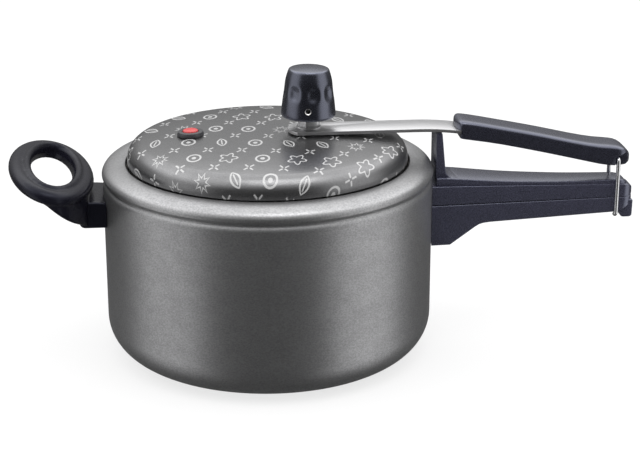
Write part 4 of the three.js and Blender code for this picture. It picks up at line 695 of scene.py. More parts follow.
class COOKER_OT_materials(bpy.types.Operator):
    """Makes the finishes and gives the frame's own small parts theirs"""

    bl_idname = "cooker.materials"
    bl_label = "Finishes"

    def execute(self, context):
        scene = context.scene
        make_mottle_group()
        make_brushed_group()
        make_print_group()
        metal = scene.cooker_metal
        make_pot_coat(scene.cooker_pot)
        make_lid_coat(scene.cooker_lid)

        def toned(rgb, factor, lift=0.0):
            """A colour times a factor, with a little added."""
            return tuple(c * factor + lift for c in rgb)

        resin = scene.cooker_handle.resin_colour
        make_resin("handle_resin", toned(resin, 1.0), 0.25, grain=0.12, gloss=1.0, index=1.65)
        make_resin("grip_resin", toned(resin, 0.38), 0.25, grain=0.12, gloss=1.0, index=1.65)
        make_resin("helper_resin", toned(resin, 0.22), 0.25, grain=0.12, gloss=0.16)
        make_resin("weight_resin", toned(resin, 0.09), 0.24, grain=0.06, gloss=1.0, index=1.75)
        steel = metal.steel_colour
        make_steel("lever_steel", toned(steel, 0.7), 0.4, along=(60.0, 4200.0, 4200.0))
        make_steel("wire_steel", toned(steel, 1.2), 0.24, along=(900.0, 900.0, 200.0), grain=0.04)
        make_steel("plain_steel", toned(steel, 0.8), 0.34, along=(900.0, 900.0, 900.0))
        make_steel("core_metal", (0.72, 0.71, 0.69), 0.28, along=(600.0, 600.0, 3000.0))
        make_silicone("seal_silicone", (0.62, 0.60, 0.56), 0.5)
        make_silicone("collar_rubber", (0.030, 0.030, 0.034), 0.42)
        make_silicone("button_rubber", toned(metal.button_colour, 0.6, lift=0.02), 0.3)
        slots = {
            "steel_hardware": "plain_steel", "bar_steel": "lever_steel", "loop_steel": "wire_steel",
            "bakelite": "handle_resin", "weight_bakelite": "weight_resin",
            "weight_metal": "core_metal", "dark_rubber": "collar_rubber",
            "gasket_silicone": "seal_silicone", "button_silicone": "button_rubber",
            "pot_coating": "pot_coat", "lid_coating": "lid_coat",
        }
        for part in frame["record"]["subparts"]:
            node = frame["nodes"][part["node"]]
            node.data.materials.clear()
            node.data.materials.append(bpy.data.materials[slots[part["material_slot"]]])
        return {"FINISHED"}


class COOKER_OT_pot(bpy.types.Operator):
    """Turns the pot: grooved base, rounded corner, wall, shoulder and rolled lip"""

    bl_idname = "cooker.pot"
    bl_label = "Pot"

    def execute(self, context):
        wall, thick, base, corner, inner_corner = WALL_RADIUS, 3.0, 4.5, 26.0, 23.0
        inner = wall - thick
        start_z, ledge = LIP_HEIGHT - 15, LIP_HEIGHT - thick
        base_rings = [(radius + across, depth) for radius in (44.0, 68.0) for across, depth in (
            (-1.2, 0.0), (-0.7, 0.7), (0, 0.8), (0.7, 0.7), (1.2, 0.0))]
        groove = [(wall, start_z), (wall - 0.1, LIP_HEIGHT - 13), (wall - 0.6, LIP_HEIGHT - 11.5),
                  (wall - 1.3, LIP_HEIGHT - 10.2), (wall - 1.5, LIP_HEIGHT - 9.3),
                  (wall - 1.1, LIP_HEIGHT - 8.4), (wall - 0.1, LIP_HEIGHT - 7.4)]
        bead = [(wall + 0.5, LIP_HEIGHT - 6.2), (wall + 0.5, LIP_HEIGHT - 5.0),
                (wall, LIP_HEIGHT - 3.7), (wall - 0.9, LIP_HEIGHT - 2.3),
                (wall - 2.4, LIP_HEIGHT - 1.0)]
        band = [(wall - 4.4, LIP_HEIGHT), (wall - 7.2, LIP_HEIGHT + 0.8),
                (wall - 10.3, LIP_HEIGHT + 1.25)]
        edge = [(MOUTH_RADIUS + 2.2, LIP_HEIGHT + 1.2),
                *arc((MOUTH_RADIUS + 1.2, LIP_HEIGHT - 0.1), (1.2, 1.2), 100, 180, 5),
                (MOUTH_RADIUS, ledge + 0.9), (MOUTH_RADIUS + 0.5, ledge)]
        shoulder = flowing([*groove, *bead, *band, *edge], 3)
        inside = [(ROOT_RADIUS - 1.5, ledge), (ROOT_RADIUS + 0.7, ledge - 0.6), (inner - 0.8, ledge - 3),
                  (inner - 0.1, ledge - 6),
                  *arc((inner - inner_corner, base + inner_corner), (inner_corner,) * 2, 0, -90, 12),
                  (0, base)]
        profile = [(0, 0), *base_rings, *arc((wall - corner, corner), (corner, corner), -90, 0, 16),
                   *shoulder, *inside]
        pot = turned("pot_shell", profile, steps=144)
        self.draw_in_mouth(pot, start_z)
        rivet_bore = 2.7
        for node in (*(f"handle_rivet_{i}" for i in (1, 2, 3, 4)), "helper_rivet_1", "helper_rivet_2"):
            low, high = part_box(node)
            middle = (low + high) / 2 / MM
            axis = Vector((0, 0, middle.z))
            out = Vector((middle.x, middle.y, 0)).normalized()
            cut(pot, rod("hole", rivet_bore, axis + out * (inner - 4), axis + out * (wall + 4),
                         sides=24))
        give(pot, "pot_coat", "pot", "pot_coating", "pot_body", smooth=40)
        return {"FINISHED"}

    def draw_in_mouth(self, pot, start_z):
        """Squeezes the shoulder's rings a little along Y, more towards the mouth, to make it oval."""
        rings = {}
        for vertex in pot.data.vertices:
            if vertex.co.z > start_z * MM:
                key = (round(vertex.co.z / MM, 3), round(vertex.co.xy.length / MM, 2))
                rings.setdefault(key, []).append(vertex.index)
        for (_, radius), indices in rings.items():
            share = min(max((WALL_RADIUS - radius) / (WALL_RADIUS - MOUTH_RADIUS), 0.0), 1.0)
            share = share * share * (3 - 2 * share)
            if share < 0.001:
                continue
            with editing(pot):
                select_only(pot, indices)
                bpy.ops.transform.resize(value=(1, 1 - (1 - MOUTH_RATIO) * share, 1),
                                         center_override=(0, 0, 0))


class COOKER_OT_lid(bpy.types.Operator):
    """Turns the domed lid and its seal, and cuts the holes for the vent and the safety valve"""

    bl_idname = "cooker.lid"
    bl_label = "Lid"

    def execute(self, context):
        thick, flange_radius, valve_bore = 2.0, MOUTH_RADIUS + 2.2, 6.9
        seal_height, lip_thick, squeeze = 4.2, 3, 0.4
        flange_top = LIP_HEIGHT - lip_thick - squeeze - seal_height

        def crown(lowered, shares):
            """The dome's curve, lowered by a thickness, at shares of the way to its knee."""
            return [(DOME_END * s, LID_APEX - lowered - LID_SAG * s**2 - LID_SWEEP * s**5)
                    for s in shares]

        profile = [
            *crown(0, [i / 20 for i in range(20)]),
            *arc(KNEE_CENTRE, (KNEE_RADIUS, KNEE_RADIUS), KNEE_START, 0, 20),
            (LID_WALL, LIP_HEIGHT + 1.6), (LID_WALL - 0.4, LIP_HEIGHT + 1.0),
            (LID_WALL - 1.5, LIP_HEIGHT + 0.2), (LID_WALL - 1.7, flange_top + 1.4),
            (LID_WALL - 1.3, flange_top + 0.4),
            (LID_WALL + 0.7, flange_top), (flange_radius - 0.4, flange_top),
            (flange_radius, flange_top - 0.4), (flange_radius, flange_top - 1.4),
            (flange_radius - 0.4, flange_top - 1.8), (LID_WALL - 3.0, flange_top - 1.8),
            (LID_WALL - 3.8, flange_top - 0.8), (LID_WALL - 3.8, LIP_HEIGHT + 0.6),
            *arc(KNEE_CENTRE, (KNEE_RADIUS - thick,) * 2, 0, KNEE_START, 12),
            *crown(thick, [i / 8 for i in range(7, -1, -1)]),
        ]
        lid = turned("lid_dome", profile, steps=144)
        seal_inner, low = LID_WALL + 0.8, flange_top + 0.2
        outer, high = MOUTH_RADIUS + 3.8, low + seal_height
        seal = turned("lid_seal", [
            (seal_inner, low), (outer - 0.8, low), (outer - 0.2, low + 0.3), (outer, low + 0.9),
            (outer - 0.15, low + 2.1), (outer, high - 0.7), (outer - 0.3, high - 0.1),
            (outer - 0.8, high), (seal_inner + 0.6, high), (seal_inner, high - 0.6),
        ], steps=144, ring=True)
        for piece in (lid, seal):
            with editing(piece):
                bpy.ops.transform.resize(value=(1, MOUTH_RATIO, 1), center_override=(0, 0, 0))
        cut(lid, rod("hole", STEM_BORE, (STEM_X, 0, 140), (STEM_X, 0, 155)),
            rod("hole", valve_bore, VALVE_BASE - VALVE_AXIS * 8, VALVE_BASE + VALVE_AXIS * 8))
        give(lid, "lid_coat", "lid", "lid_coating", "lid_shell", smooth=30)
        give(seal, "seal_silicone", "lid", "gasket_silicone", "sealing_gasket")
        return {"FINISHED"}


def bar_drop(x):
    """How far the bar has sunk below its straight part at a distance along it."""
    start, end = 100.0, 138.0
    if x <= start:
        return 0.0
    if x <= end:
        return BAR_SLOPE * (x - start) ** 2 / (2 * (end - start))
    return BAR_SLOPE * (end - start) / 2 + BAR_SLOPE * (x - end)


def bar_strip(name, start, end, half_width, margin):
    """A strip that follows the bar, thicker by a margin on both faces."""
    half = BAR_THICKNESS / 2 + margin
    middle = BAR_TOP - BAR_THICKNESS / 2
    stations = [start, *[x for x in range(100, 140, 2) if start < x < end], end]
    upper = [(x, middle - bar_drop(x) + half) for x in stations]
    lower = [(x, middle - bar_drop(x) - half) for x in reversed(stations)]
    return side_cut(name, upper + lower, half_width)


def height_at(line, x):
    """The height of a side view's line at a distance along it."""
    for (x0, z0), (x1, z1) in zip(line, line[1:]):
        if x <= x1:
            return z0 + (z1 - z0) * (x - x0) / (x1 - x0)
    return line[-1][1]


GRIP_TOP = flowing([(125.6, 153.2), (133, 153.2), (154, 149.2), (182, 143.4), (209, 137.2),
                    (223, 134.6), (234, 133.4), (241, 131.6), (246.6, 127.6)], 8)
GRIP_BOTTOM = flowing([(125.6, 146), (134, 144.6), (154, 141.2), (182, 135.1), (209, 128.7),
                       (223, 125.3), (232, 123.9), (240, 123.7), (246.6, 125.4)], 8)


class COOKER_OT_lever(bpy.types.Operator):
    """Makes the lever bar, its grip and the two screws under the grip"""

    bl_idname = "cooker.lever"
    bl_label = "Lever bar and grip"

    def execute(self, context):
        self.make_bar()
        self.make_grip()
        return {"FINISHED"}

    def make_bar(self):
        """The flat bar: a rounded nose round the stem, and a narrower tang for the grip."""
        nose, end, corner, half, tang = 16.0, 174, 3, BAR_HALF, TANG_HALF
        nose_x = STEM_X - 14 + nose
        turn = math.degrees(math.asin(half / nose))
        plan = [(TANG_X, -half), (TANG_X + corner, -tang), (end - corner, -tang), (end, corner - tang),
                (end, tang - corner), (end - corner, tang), (TANG_X + corner, tang), (TANG_X, half),
                *arc((nose_x, 0), (nose, nose), 180 - turn, 180 + turn, 28)]
        bar = bar_strip("lever_bar", 0, end + 4, half, 0)
        combine(bar, plan_cut("plan", plan, 100, 160), "INTERSECT")
        cut(bar, rod("hole", STEM_BORE, (STEM_X, 0, 145), (STEM_X, 0, 156)))
        rounded(bar, 0.45 * MM, segments=2, angle=50)
        give(bar, "lever_steel", "lid", "bar_steel", "lid_bar", smooth=30)

    def make_grip(self):
        """The grip over the bar's tang, with room for the bar, the pivot, the loop and two screws."""
        offsets = [0, 0.25, 0.7, 1.3, 2.1, 3.1, 4.3, 6.5, 12, 20, 30, 40, 50, 60, 70, 80, 90, 98,
                   104, 109, 112, 114.5, 116.5, 118.2, 119.5, 120.4, 120.85, GRIP_LENGTH]
        grip = lofted("lever_grip", [self.section(GRIP_START + step) for step in offsets])
        pivot_bore, collar = WIRE_RADIUS + FIT, GRIP_START + 3.5
        cut(grip, bar_strip("slot", 119, collar, 14, FIT),
            bar_strip("slot", 119, TANG_X + 3.4, BAR_HALF + FIT, FIT),
            bar_strip("slot", TANG_X, 174 + FIT, TANG_HALF + FIT, FIT),
            box("step", (120, -15, 130), (GRIP_START + 2.6, 15, 148.3)),
            rod("pivot", pivot_bore, (PIVOT.x, -15, PIVOT.z), (PIVOT.x, 15, PIVOT.z)),
            self.leg_pocket(-1), self.leg_pocket(1))
        screws = []
        for x in (146.0, 164.0):
            middle = Vector((x, 0, BAR_TOP - BAR_THICKNESS / 2 - bar_drop(x)))
            across = Vector((BAR_SLOPE, 0, 1)).normalized()
            cut(grip, rod("hole", HEAD_BORE, middle - across * 14, middle - across * 2.6),
                rod("hole", SHANK_BORE, middle - across * 4, middle + across * 3.2))
            screws.append(make_screw(f"grip_screw_{len(screws) + 1}_piece", middle - across * 5.4,
                                     across, 8.3))
        rounded(grip, 0.35 * MM, segments=2, angle=50)
        give(grip, "grip_resin", "lid", "bakelite", "lid_grip", smooth=38)
        for number, screw in enumerate(screws, 1):
            give(screw, "plain_steel", "lid", "steel_hardware", f"grip_screw_{number}")

    def section(self, x):
        """The grip's outline across a place on its length: flat underneath, crowned on top."""
        blunt_start, blunt_end = 0.36 * GRIP_HALF, 0.75 * GRIP_HALF
        start = max(1 - (x - GRIP_START) / blunt_start, 0)
        end = max(1 - (GRIP_START + GRIP_LENGTH - x) / blunt_end, 0)
        half = GRIP_HALF * math.sqrt(max(1 - start**2.4, 0.04)) * math.sqrt(max(1 - end**2, 0.02))
        share = half / GRIP_HALF
        shelf, foot = height_at(GRIP_TOP, x) - 2.3, height_at(GRIP_BOTTOM, x) - 1.3
        crown = 5.2 * math.sqrt(share)
        right = [(0, foot), (half * 0.5, foot)]
        right += [(half - inset * share, foot + rise) for inset, rise in (
            (1.8, 0), (1.1, 0.15), (0.5, 0.5), (0.12, 1.1), (0, 1.9))]
        for i in range(12):
            t = math.pi * i / 24
            right.append((half * math.cos(t) ** 0.36, shelf + crown * math.sin(t) ** 0.45))
        left = [(-y, z) for y, z in reversed(right[1:])]
        return [(x, y, z) for y, z in [*right, (0, shelf + crown), *left]]

    def leg_pocket(self, side):
        """Room beside the pivot for a leg of the loop, hanging or swung up."""
        reach, inner, half, end = 2.5, 9.9, 3, 248.6
        outline = [(PIVOT.x - reach, PIVOT.z - 10), *arc((PIVOT.x, PIVOT.z), (reach, reach), 180, 90, 8),
                   (end, PIVOT.z + reach + 4.5), (end, PIVOT.z - 10)]
        pocket = side_cut("pocket", outline, half)
        with editing(pocket):
            bpy.ops.transform.translate(value=(0, side * (inner + half) * MM, 0))
        return pocket


def make_screw(name, head, direction, reach, head_radius=4.4, shank_radius=2.2):
    """A pan-head screw with a cross recess; its head starts at a point and its shank runs on."""
    profile = [(0, 0.25), (2.2, 0.1), (3.5, 0.25), (4.15, 0.7), (head_radius, 1.3),
               (head_radius, 2.5), (shank_radius, 2.6), (shank_radius, reach - 0.8),
               (shank_radius * 0.6, reach), (0, reach)]
    screw = turned(name, profile, steps=40)
    for wide, deep in ((2.4, 0.45), (0.45, 2.4)):
        cut(screw, box("recess", (-wide, -deep, -1), (wide, deep, 1.5)))
    return stand(screw, head, direction)


class COOKER_OT_loop(bpy.types.Operator):
    """Bends the locking loop from round wire"""

    bl_idname = "cooker.loop"
    bl_label = "Locking loop"

    def execute(self, context):
        half, foot, bend, low, high = 11.6, 8.2, 2.6, LOOP_LOW, PIVOT.z
        wire = draw_line("wire_loop", [(PIVOT.x, y, z) for y, z in (
            (-foot, low), (-half, low), (-half, high), (half, high), (half, low), (foot, low))])
        with editing(wire):
            select_only(wire, (1, 2, 3, 4))
            bpy.ops.mesh.bevel(offset=bend * MM, segments=8, affect="VERTICES")
        bpy.ops.object.convert(target="CURVE")
        curve = bpy.context.object
        curve.data.bevel_depth = WIRE_RADIUS * MM
        curve.data.bevel_resolution = 6
        curve.data.use_fill_caps = True
        bpy.ops.object.convert(target="MESH")
        wire = bpy.context.object
        with editing(wire):
            face_outwards(weld=WELD)
        rounded(wire, 0.3 * MM, segments=2, angle=60)
        give(wire, "wire_steel", "loop", "loop_steel", "locking_loop", smooth=40)
        return {"FINISHED"}


class COOKER_OT_long_handle(bpy.types.Operator):
    """Moulds the long handle in two halves with a raised top, the post and the tongue"""

    bl_idname = "cooker.long_handle"
    bl_label = "Long handle"

    def execute(self, context):
        edge = context.scene.cooker_handle.edge_radius
        seam, thick = 0.4, 18
        tip, tip_half, root_half, root = HANDLE_TIP, 9.8, 16.8, ROOT_RADIUS
        rest, foot_x = LOOP_LOW + WIRE_RADIUS + 0.4, PIVOT.x + WIRE_RADIUS
        lower_side = [
            (root, 71), (WALL_RADIUS + 12, 71), (139.1, 83.0), (141.8, 84.6), (144.6, 85.4),
            (149.5, 85.9), (foot_x, rest), (tip, rest + 5.8), (tip, PARTING_Z - seam),
            (root, PARTING_Z - seam)]
        upper_side = [
            (root, PARTING_Z + seam), (tip, PARTING_Z + seam), (tip, PARTING_Z + 2.6),
            (tip - 0.5, 104.6), (tip - 1.7, 106.2), (tip - 4.2, 107.6), (tip - 7.4, 108.3),
            (tip - 11, 108.4), (WALL_RADIUS + 18, 112.2), (root, 112.7)]
        plan = [(root, -root_half), (WALL_RADIUS, -root_half), (PIVOT.x, -tip_half),
                *arc((tip - 8, 0), (8, tip_half), -90, 90, 20),
                (PIVOT.x, tip_half), (WALL_RADIUS, root_half), (root, root_half)]
        halves = []
        for name, side in (("lower", lower_side), ("upper", upper_side)):
            half = side_cut(name, side, thick)
            combine(half, plan_cut("plan", plan, 60, 160), "INTERSECT")
            halves.append(rounded(half, edge if name == "upper" else edge * 0.4, angle=25))
        handle = combine(halves[0], halves[1], "UNION")
        core = plan_cut("core", [(min(x, tip - 1), y * 0.93) for x, y in plan],
                        PARTING_Z - 2, PARTING_Z + 2)
        for part in (core, self.top_plate(), self.post(), self.tongue()):
            combine(handle, part, "UNION")
        fit_to_pot(handle, low=0)
        cut(handle, box("pocket", (100, -13.3, 75.7), (115.6, 13.3, 110.3)),
            box("pocket", (110, -6.3, 87.7), (126.6, 6.3, 96.3)))
        screw_x = WALL_RADIUS + FIT + 9
        cut(handle, rod("hole", HEAD_BORE, (screw_x, 0, 70), (screw_x, 0, 78.9)),
            rod("hole", SHANK_BORE, (screw_x, 0, 77), (screw_x, 0, 98.3)))
        handle.name = "long_handle"
        give(handle, "handle_resin", "pot", "bakelite", "body_handle", smooth=32)
        screw = make_screw("handle_screw_piece", (screw_x, 0, 76), (0, 0, 1), 22)
        give(screw, "plain_steel", "pot", "steel_hardware", "handle_screw")
        return {"FINISHED"}

    def top_plate(self):
        """The raised, narrower top face."""
        start, end = 116.2, HANDLE_TIP - 3.4
        root_half, end_half, blunt = 14.2, 9.1, 8
        crest = flowing([(start - 4, 117.6), (start + 6, 117.4), (160, 113.9), (200, 111.9),
                         (end - 13, 111.5)], 5)
        side = [(start - 4, 104), *crest, (end - 8, 111.4), (end - 4.4, 110.9), (end - 1.8, 109.4),
                (end - 0.5, 107), (end, 104)]
        plan = [(start - 4, -root_half), (start + 12, -root_half), (end - blunt, -end_half),
                *arc((end - blunt, 0), (blunt, end_half), -90, 90, 16),
                (start + 12, root_half), (start - 4, root_half)]
        plate = combine(side_cut("top", side, 18), plan_cut("plan", plan, 80, 150), "INTERSECT")
        return rounded(plate, 0.9 * MM, angle=25)

    def post(self):
        """The post the bar tips over, with a crowned top and a flared foot."""
        x, half, top, round_top = 114.2, 2.0, 148.8, 10
        crown = arc((x, top - round_top), (round_top,) * 2, 98, 82, 6)
        side = [(x - half, PARTING_Z), (x - half, top - 1.4), *crown, (x + half, top - 1.4),
                (x + half + 2.4, 123.2), (x + half + 2.8, 120.4), (x + half + 4.2, 118.4),
                (x + half + 6.6, 117.4), (x + half + 9.4, 117.2), (x + half + 9.4, PARTING_Z)]
        return rounded(side_cut("post", side, 11), 0.8 * MM, angle=25)

    def tongue(self):
        """The tongue under the tip that the loop's feet rest behind."""
        nose, tip, low, half = 241.5, HANDLE_TIP, 84.2, 8.2
        side = [(nose - 4, PARTING_Z - 3), (nose - 1.6, low + 4.6), (nose, low + 1),
                (nose + 0.6, low + 0.3), (nose + 2, low), (tip - 2.6, low), (tip - 1.2, low + 0.4),
                (tip - 0.5, low + 1.4), (tip - 0.3, PARTING_Z - 3)]
        return rounded(side_cut("tongue", side, half), 0.9 * MM, angle=25)


class COOKER_OT_helper_handle(bpy.types.Operator):
    """Moulds the helper handle: a block at the pot and a wide, slightly rising loop"""

    bl_idname = "cooker.helper_handle"
    bl_label = "Helper handle"

    def execute(self, context):
        half, top, low, end = 23.0, 111.4, 93.4, -128.0
        ridge = self.band(path=(17.5, 47.8), section=(3.5, 6.0), lift=0.0)
        skirt = self.band(path=(22.4, 53.6), section=(6.3, 4.9), lift=-0.6)
        root = -ROOT_RADIUS
        neck = side_cut("neck", [
            (root, low), (end + 4.4, low), (end + 3, low + 1), (end + 1.4, low + 5),
            (end + 0.4, low + 10), (end, top - 1.4), (end + 1.6, top + 0.4),
            (-WALL_RADIUS - 4, top), (root, top - 1)], half)
        rounded(neck, 1.2 * MM)
        handle = combine(neck, self.web(end + 3, half - 1, low + 1.0), "UNION")
        cut(handle, self.upright_oval(-6.9))
        for part in (skirt, ridge):
            combine(handle, part, "UNION")
        handle.name = "helper_loop"
        finish_modifier(handle, "REMESH", mode="VOXEL", voxel_size=0.9 * MM)
        finish_modifier(handle, "SMOOTH", factor=0.5, iterations=8)
        fit_to_pot(handle, low=80)
        screw_x = -(WALL_RADIUS + FIT + 7)
        cut(handle, box("pocket", (-115.3, -16.3, 97.1), (-100, 16.3, 109.3)),
            box("pocket", (-122.6, -6.3, 99.7), (-110, 6.3, 106.3)),
            rod("hole", HEAD_BORE, (screw_x, 0, 92), (screw_x, 0, 97.9)))
        give(handle, "helper_resin", "pot", "bakelite", "helper_handle", smooth=50)
        screw = make_screw("helper_screw_piece", (screw_x, 0, 95), (0, 0, 1), 12.5)
        give(screw, "plain_steel", "pot", "steel_hardware", "helper_screw")
        return {"FINISHED"}

    def band(self, path, section, lift):
        """A loop: an oval section carried round an oval path, lifted, then tilted up."""
        stations, sides = 72, 24
        loops = []
        for i in range(stations):
            t = 2 * math.pi * i / stations
            middle = Vector((-path[0] * math.cos(t), path[1] * math.sin(t), lift))
            out = Vector((-path[1] * math.cos(t), path[0] * math.sin(t), 0)).normalized()
            loops.append(draw_line("band", [
                middle + out * (section[0] * math.cos(a)) + Vector((0, 0, section[1] * math.sin(a)))
                for a in (2 * math.pi * j / sides for j in range(sides))], closed=True))
        obj = joined(loops)
        with editing(obj):
            bpy.ops.mesh.bridge_edge_loops(type="CLOSED")
            face_outwards()
        obj.rotation_euler = (0, HELPER_TILT, 0)
        obj.location = HELPER_CENTRE * MM
        return settle(obj)

    def web(self, x, half, low):
        """The skin drawn tight from under the loop down to the neck's end, fuller on the near side."""
        centre, rise, run = HELPER_CENTRE, math.sin(HELPER_TILT), math.cos(HELPER_TILT)
        loops = []
        for margin, sink in ((6.0, -0.6), (3.6, -3.2)):
            radii = [radius + margin for radius in HELPER_OVAL]
            loops.append(draw_line("edge", [
                (centre.x + along * run + sink * rise, y, centre.z - along * rise + sink * run)
                for along, y in arc((0, 0), radii, 0, 352.5, 47)], closed=True))
        reach, span, fall = 24.5, 55, 25.5
        loops.append(draw_line("belly", [
            (centre.x + reach * math.cos(t), -span * math.sin(t),
             low + fall + 2 - fall * math.cos(t) ** 0.8)
            for t in (math.radians(degrees) for degrees in (88, 78, 70, 60, 50, 40, 30))]))
        for z, inset in ((low, 2), (low + 2, 0), (low + 12, 0)):
            loops.append(draw_line("foot", [(x, inset - half, z), (x + 8, inset - half, z),
                                            (x + 8, half - inset, z), (x, half - inset, z)]))
        web = joined(loops)
        with editing(web):
            bpy.ops.mesh.convex_hull()
            face_outwards()
        return cut(web, self.upright_oval(0.5), box("beside", (x + 4.5, -70, 80), (x + 40, 70, 150)))

    def upright_oval(self, margin):
        """An upright oval over the loop's middle line, wider by a margin."""
        reach, half = ((radius + margin) * MM for radius in HELPER_OVAL)
        bpy.ops.mesh.primitive_cylinder_add(vertices=96, radius=1, depth=0.3, scale=(reach, half, 1),
                                            location=(HELPER_CENTRE.x * MM, 0, 0.1))
        return settle(bpy.context.object)


class COOKER_OT_weight(bpy.types.Operator):
    """Turns the pressure weight with its finger dimples and steam holes, and the metal inside it"""

    bl_idname = "cooker.weight"
    bl_label = "Pressure weight"

    def execute(self, context):
        base, height, radius, top_radius = 160.4, 31.9, 18.0, 12.9
        seat = 180.3  # height at which the core rests on the stem's tip
        dimples, ports = 8, 3
        turn = math.radians(-6) - math.pi / 2
        cavity = radius - 3
        skin = flowing([(r, base + share * height) for share, r in (
            (0.0, radius - 0.5), (0.02, radius), (0.06, radius + 0.2), (0.2, radius - 0.25),
            (0.35, radius - 0.8), (0.5, radius - 1.35), (0.66, radius - 2), (0.8, radius - 2.8),
            (0.91, top_radius + 1.3), (0.965, top_radius + 0.7), (0.99, top_radius + 0.2),
            (1.0, top_radius - 0.4))], 4)
        crest = [(r, base + height + 0.9 - 0.9 * (r / (top_radius - 0.4))**2)
                 for r in (11.4, 9, 6, 3, 0)]
        profile = [*skin, *crest, (0, base + height - 5),
                   (top_radius - 4, base + height - 5), (cavity - 5, base + height - 9),
                   (cavity - 2.4, base + 15), (cavity, base + 9), (cavity, base), skin[0]]
        cap = turned("weight_body", profile, x=STEM_X, steps=120)
        for i in range(dimples):
            angle = turn + math.radians(11) + i * 2 * math.pi / dimples
            self.press_dimple(cap, angle, base + 17.5)
        port = Vector((STEM_X, 0, base + 6.6))
        angles = [turn + i * 2 * math.pi / ports for i in range(ports)]
        outs = [Vector((math.cos(a), math.sin(a), 0)) for a in angles]
        for out in outs:
            cut(cap, rod("hole", 2.4, port, port + out * 24))
        self.lean(cap, seat)
        give(cap, "weight_resin", "weight", "weight_bakelite", "weight_cap", smooth=32)
        core_low, core_top = base + 2.4, base + 2.4 + 22.8
        core = turned("weight_metal_core", [
            (4.6, core_low), (cavity - 0.9, core_low), (cavity - 0.3, base + 3),
            (cavity - 0.3, base + 8.6), (cavity - 2.9, base + 14.8), (cavity - 5.6, core_top - 3.6),
            (top_radius - 4.6, core_top), (0, core_top), (0, seat + 1.2), (1.6, seat),
            (4.0, seat - 4.6), (4.6, seat - 6.2), (4.6, core_low)], x=STEM_X, steps=64)
        spout = Vector((STEM_X, 0, base + 6.7))
        for out in outs:
            combine(core, rod("spout", 2.2, spout + out * 12, spout + out * 17.2), "UNION")
            cut(core, rod("hole", 1.6, spout, spout + out * 24),
                self.flare(spout + out * 16.75, out))
        self.lean(core, seat)
        give(core, "core_metal", "weight", "weight_metal", "weight_core")
        return {"FINISHED"}

    def flare(self, place, out):
        """A wide cone that opens a steam hole's mouth."""
        cone = turned("flare", [(0, 0), (1.5, 0), (2.15, 0.55), (2.15, 3), (0, 3)], steps=32)
        return stand(cone, place, out)

    def lean(self, piece, seat):
        """Tips a loose piece a little on the stem's point."""
        with editing(piece):
            bpy.ops.transform.rotate(value=math.radians(-0.8), orient_axis="Y",
                                     center_override=(STEM_X * MM, 0, seat * MM))

    def press_dimple(self, cap, angle, height):
        """Presses a finger dimple into the skin with soft falloff."""
        out = Vector((math.cos(angle), math.sin(angle), 0))
        side = Vector((-out.y, out.x, 0))
        spot = []
        for vertex in cap.data.vertices:
            offset = (vertex.co - Vector((STEM_X, 0, height)) * MM) / MM
            if offset.dot(out) > 14 and abs(offset.dot(side)) < 0.9 and abs(offset.z) < 2:
                spot.append(vertex.index)
        with editing(cap):
            select_only(cap, spot)
            bpy.ops.transform.translate(value=-out * 1.4 * MM, use_proportional_edit=True,
                                        proportional_edit_falloff="SMOOTH",
                                        proportional_size=5.2 * MM)


class COOKER_OT_vent(bpy.types.Operator):
    """Makes the washer and the nut on the vent stem"""

    bl_idname = "cooker.vent"
    bl_label = "Vent stem, washer and nut"

    def execute(self, context):
        bore, outer, thick, across_flats, nut_height = STEM_BORE, 8.2, 1.2, 13, 5
        washer = turned("vent_washer", [
            (bore, BAR_TOP), (outer - 0.2, BAR_TOP), (outer, BAR_TOP + 0.25), (outer, BAR_TOP + 0.95),
            (outer - 0.2, BAR_TOP + thick), (bore, BAR_TOP + thick)], x=STEM_X, steps=64, ring=True)
        give(washer, "lever_steel", "lid", "bar_steel", "stem_washer")
        low, high = BAR_TOP + thick, BAR_TOP + thick + nut_height
        bpy.ops.mesh.primitive_cylinder_add(vertices=6, radius=across_flats / math.sqrt(3) * MM,
                                            depth=(high - low) * MM,
                                            location=(STEM_X * MM, 0, (low + high) / 2 * MM),
                                            rotation=(0, 0, math.radians(-20)))
        nut = settle(bpy.context.object)
        nut.name = "vent_nut"
        dome = turned("chamfer", [
            (0, low - 1), (8.2, low - 1), (8.2, high - 1.4), (7.4, high - 0.5), (6.2, high), (0, high)],
            x=STEM_X, steps=64)
        combine(nut, dome, "INTERSECT")
        cut(nut, rod("bore", bore, (STEM_X, 0, low - 2), (STEM_X, 0, high + 2), sides=48))
        rounded(nut, 0.25 * MM, segments=2)
        give(nut, "plain_steel", "lid", "bar_steel", "stem_nut")
        return {"FINISHED"}


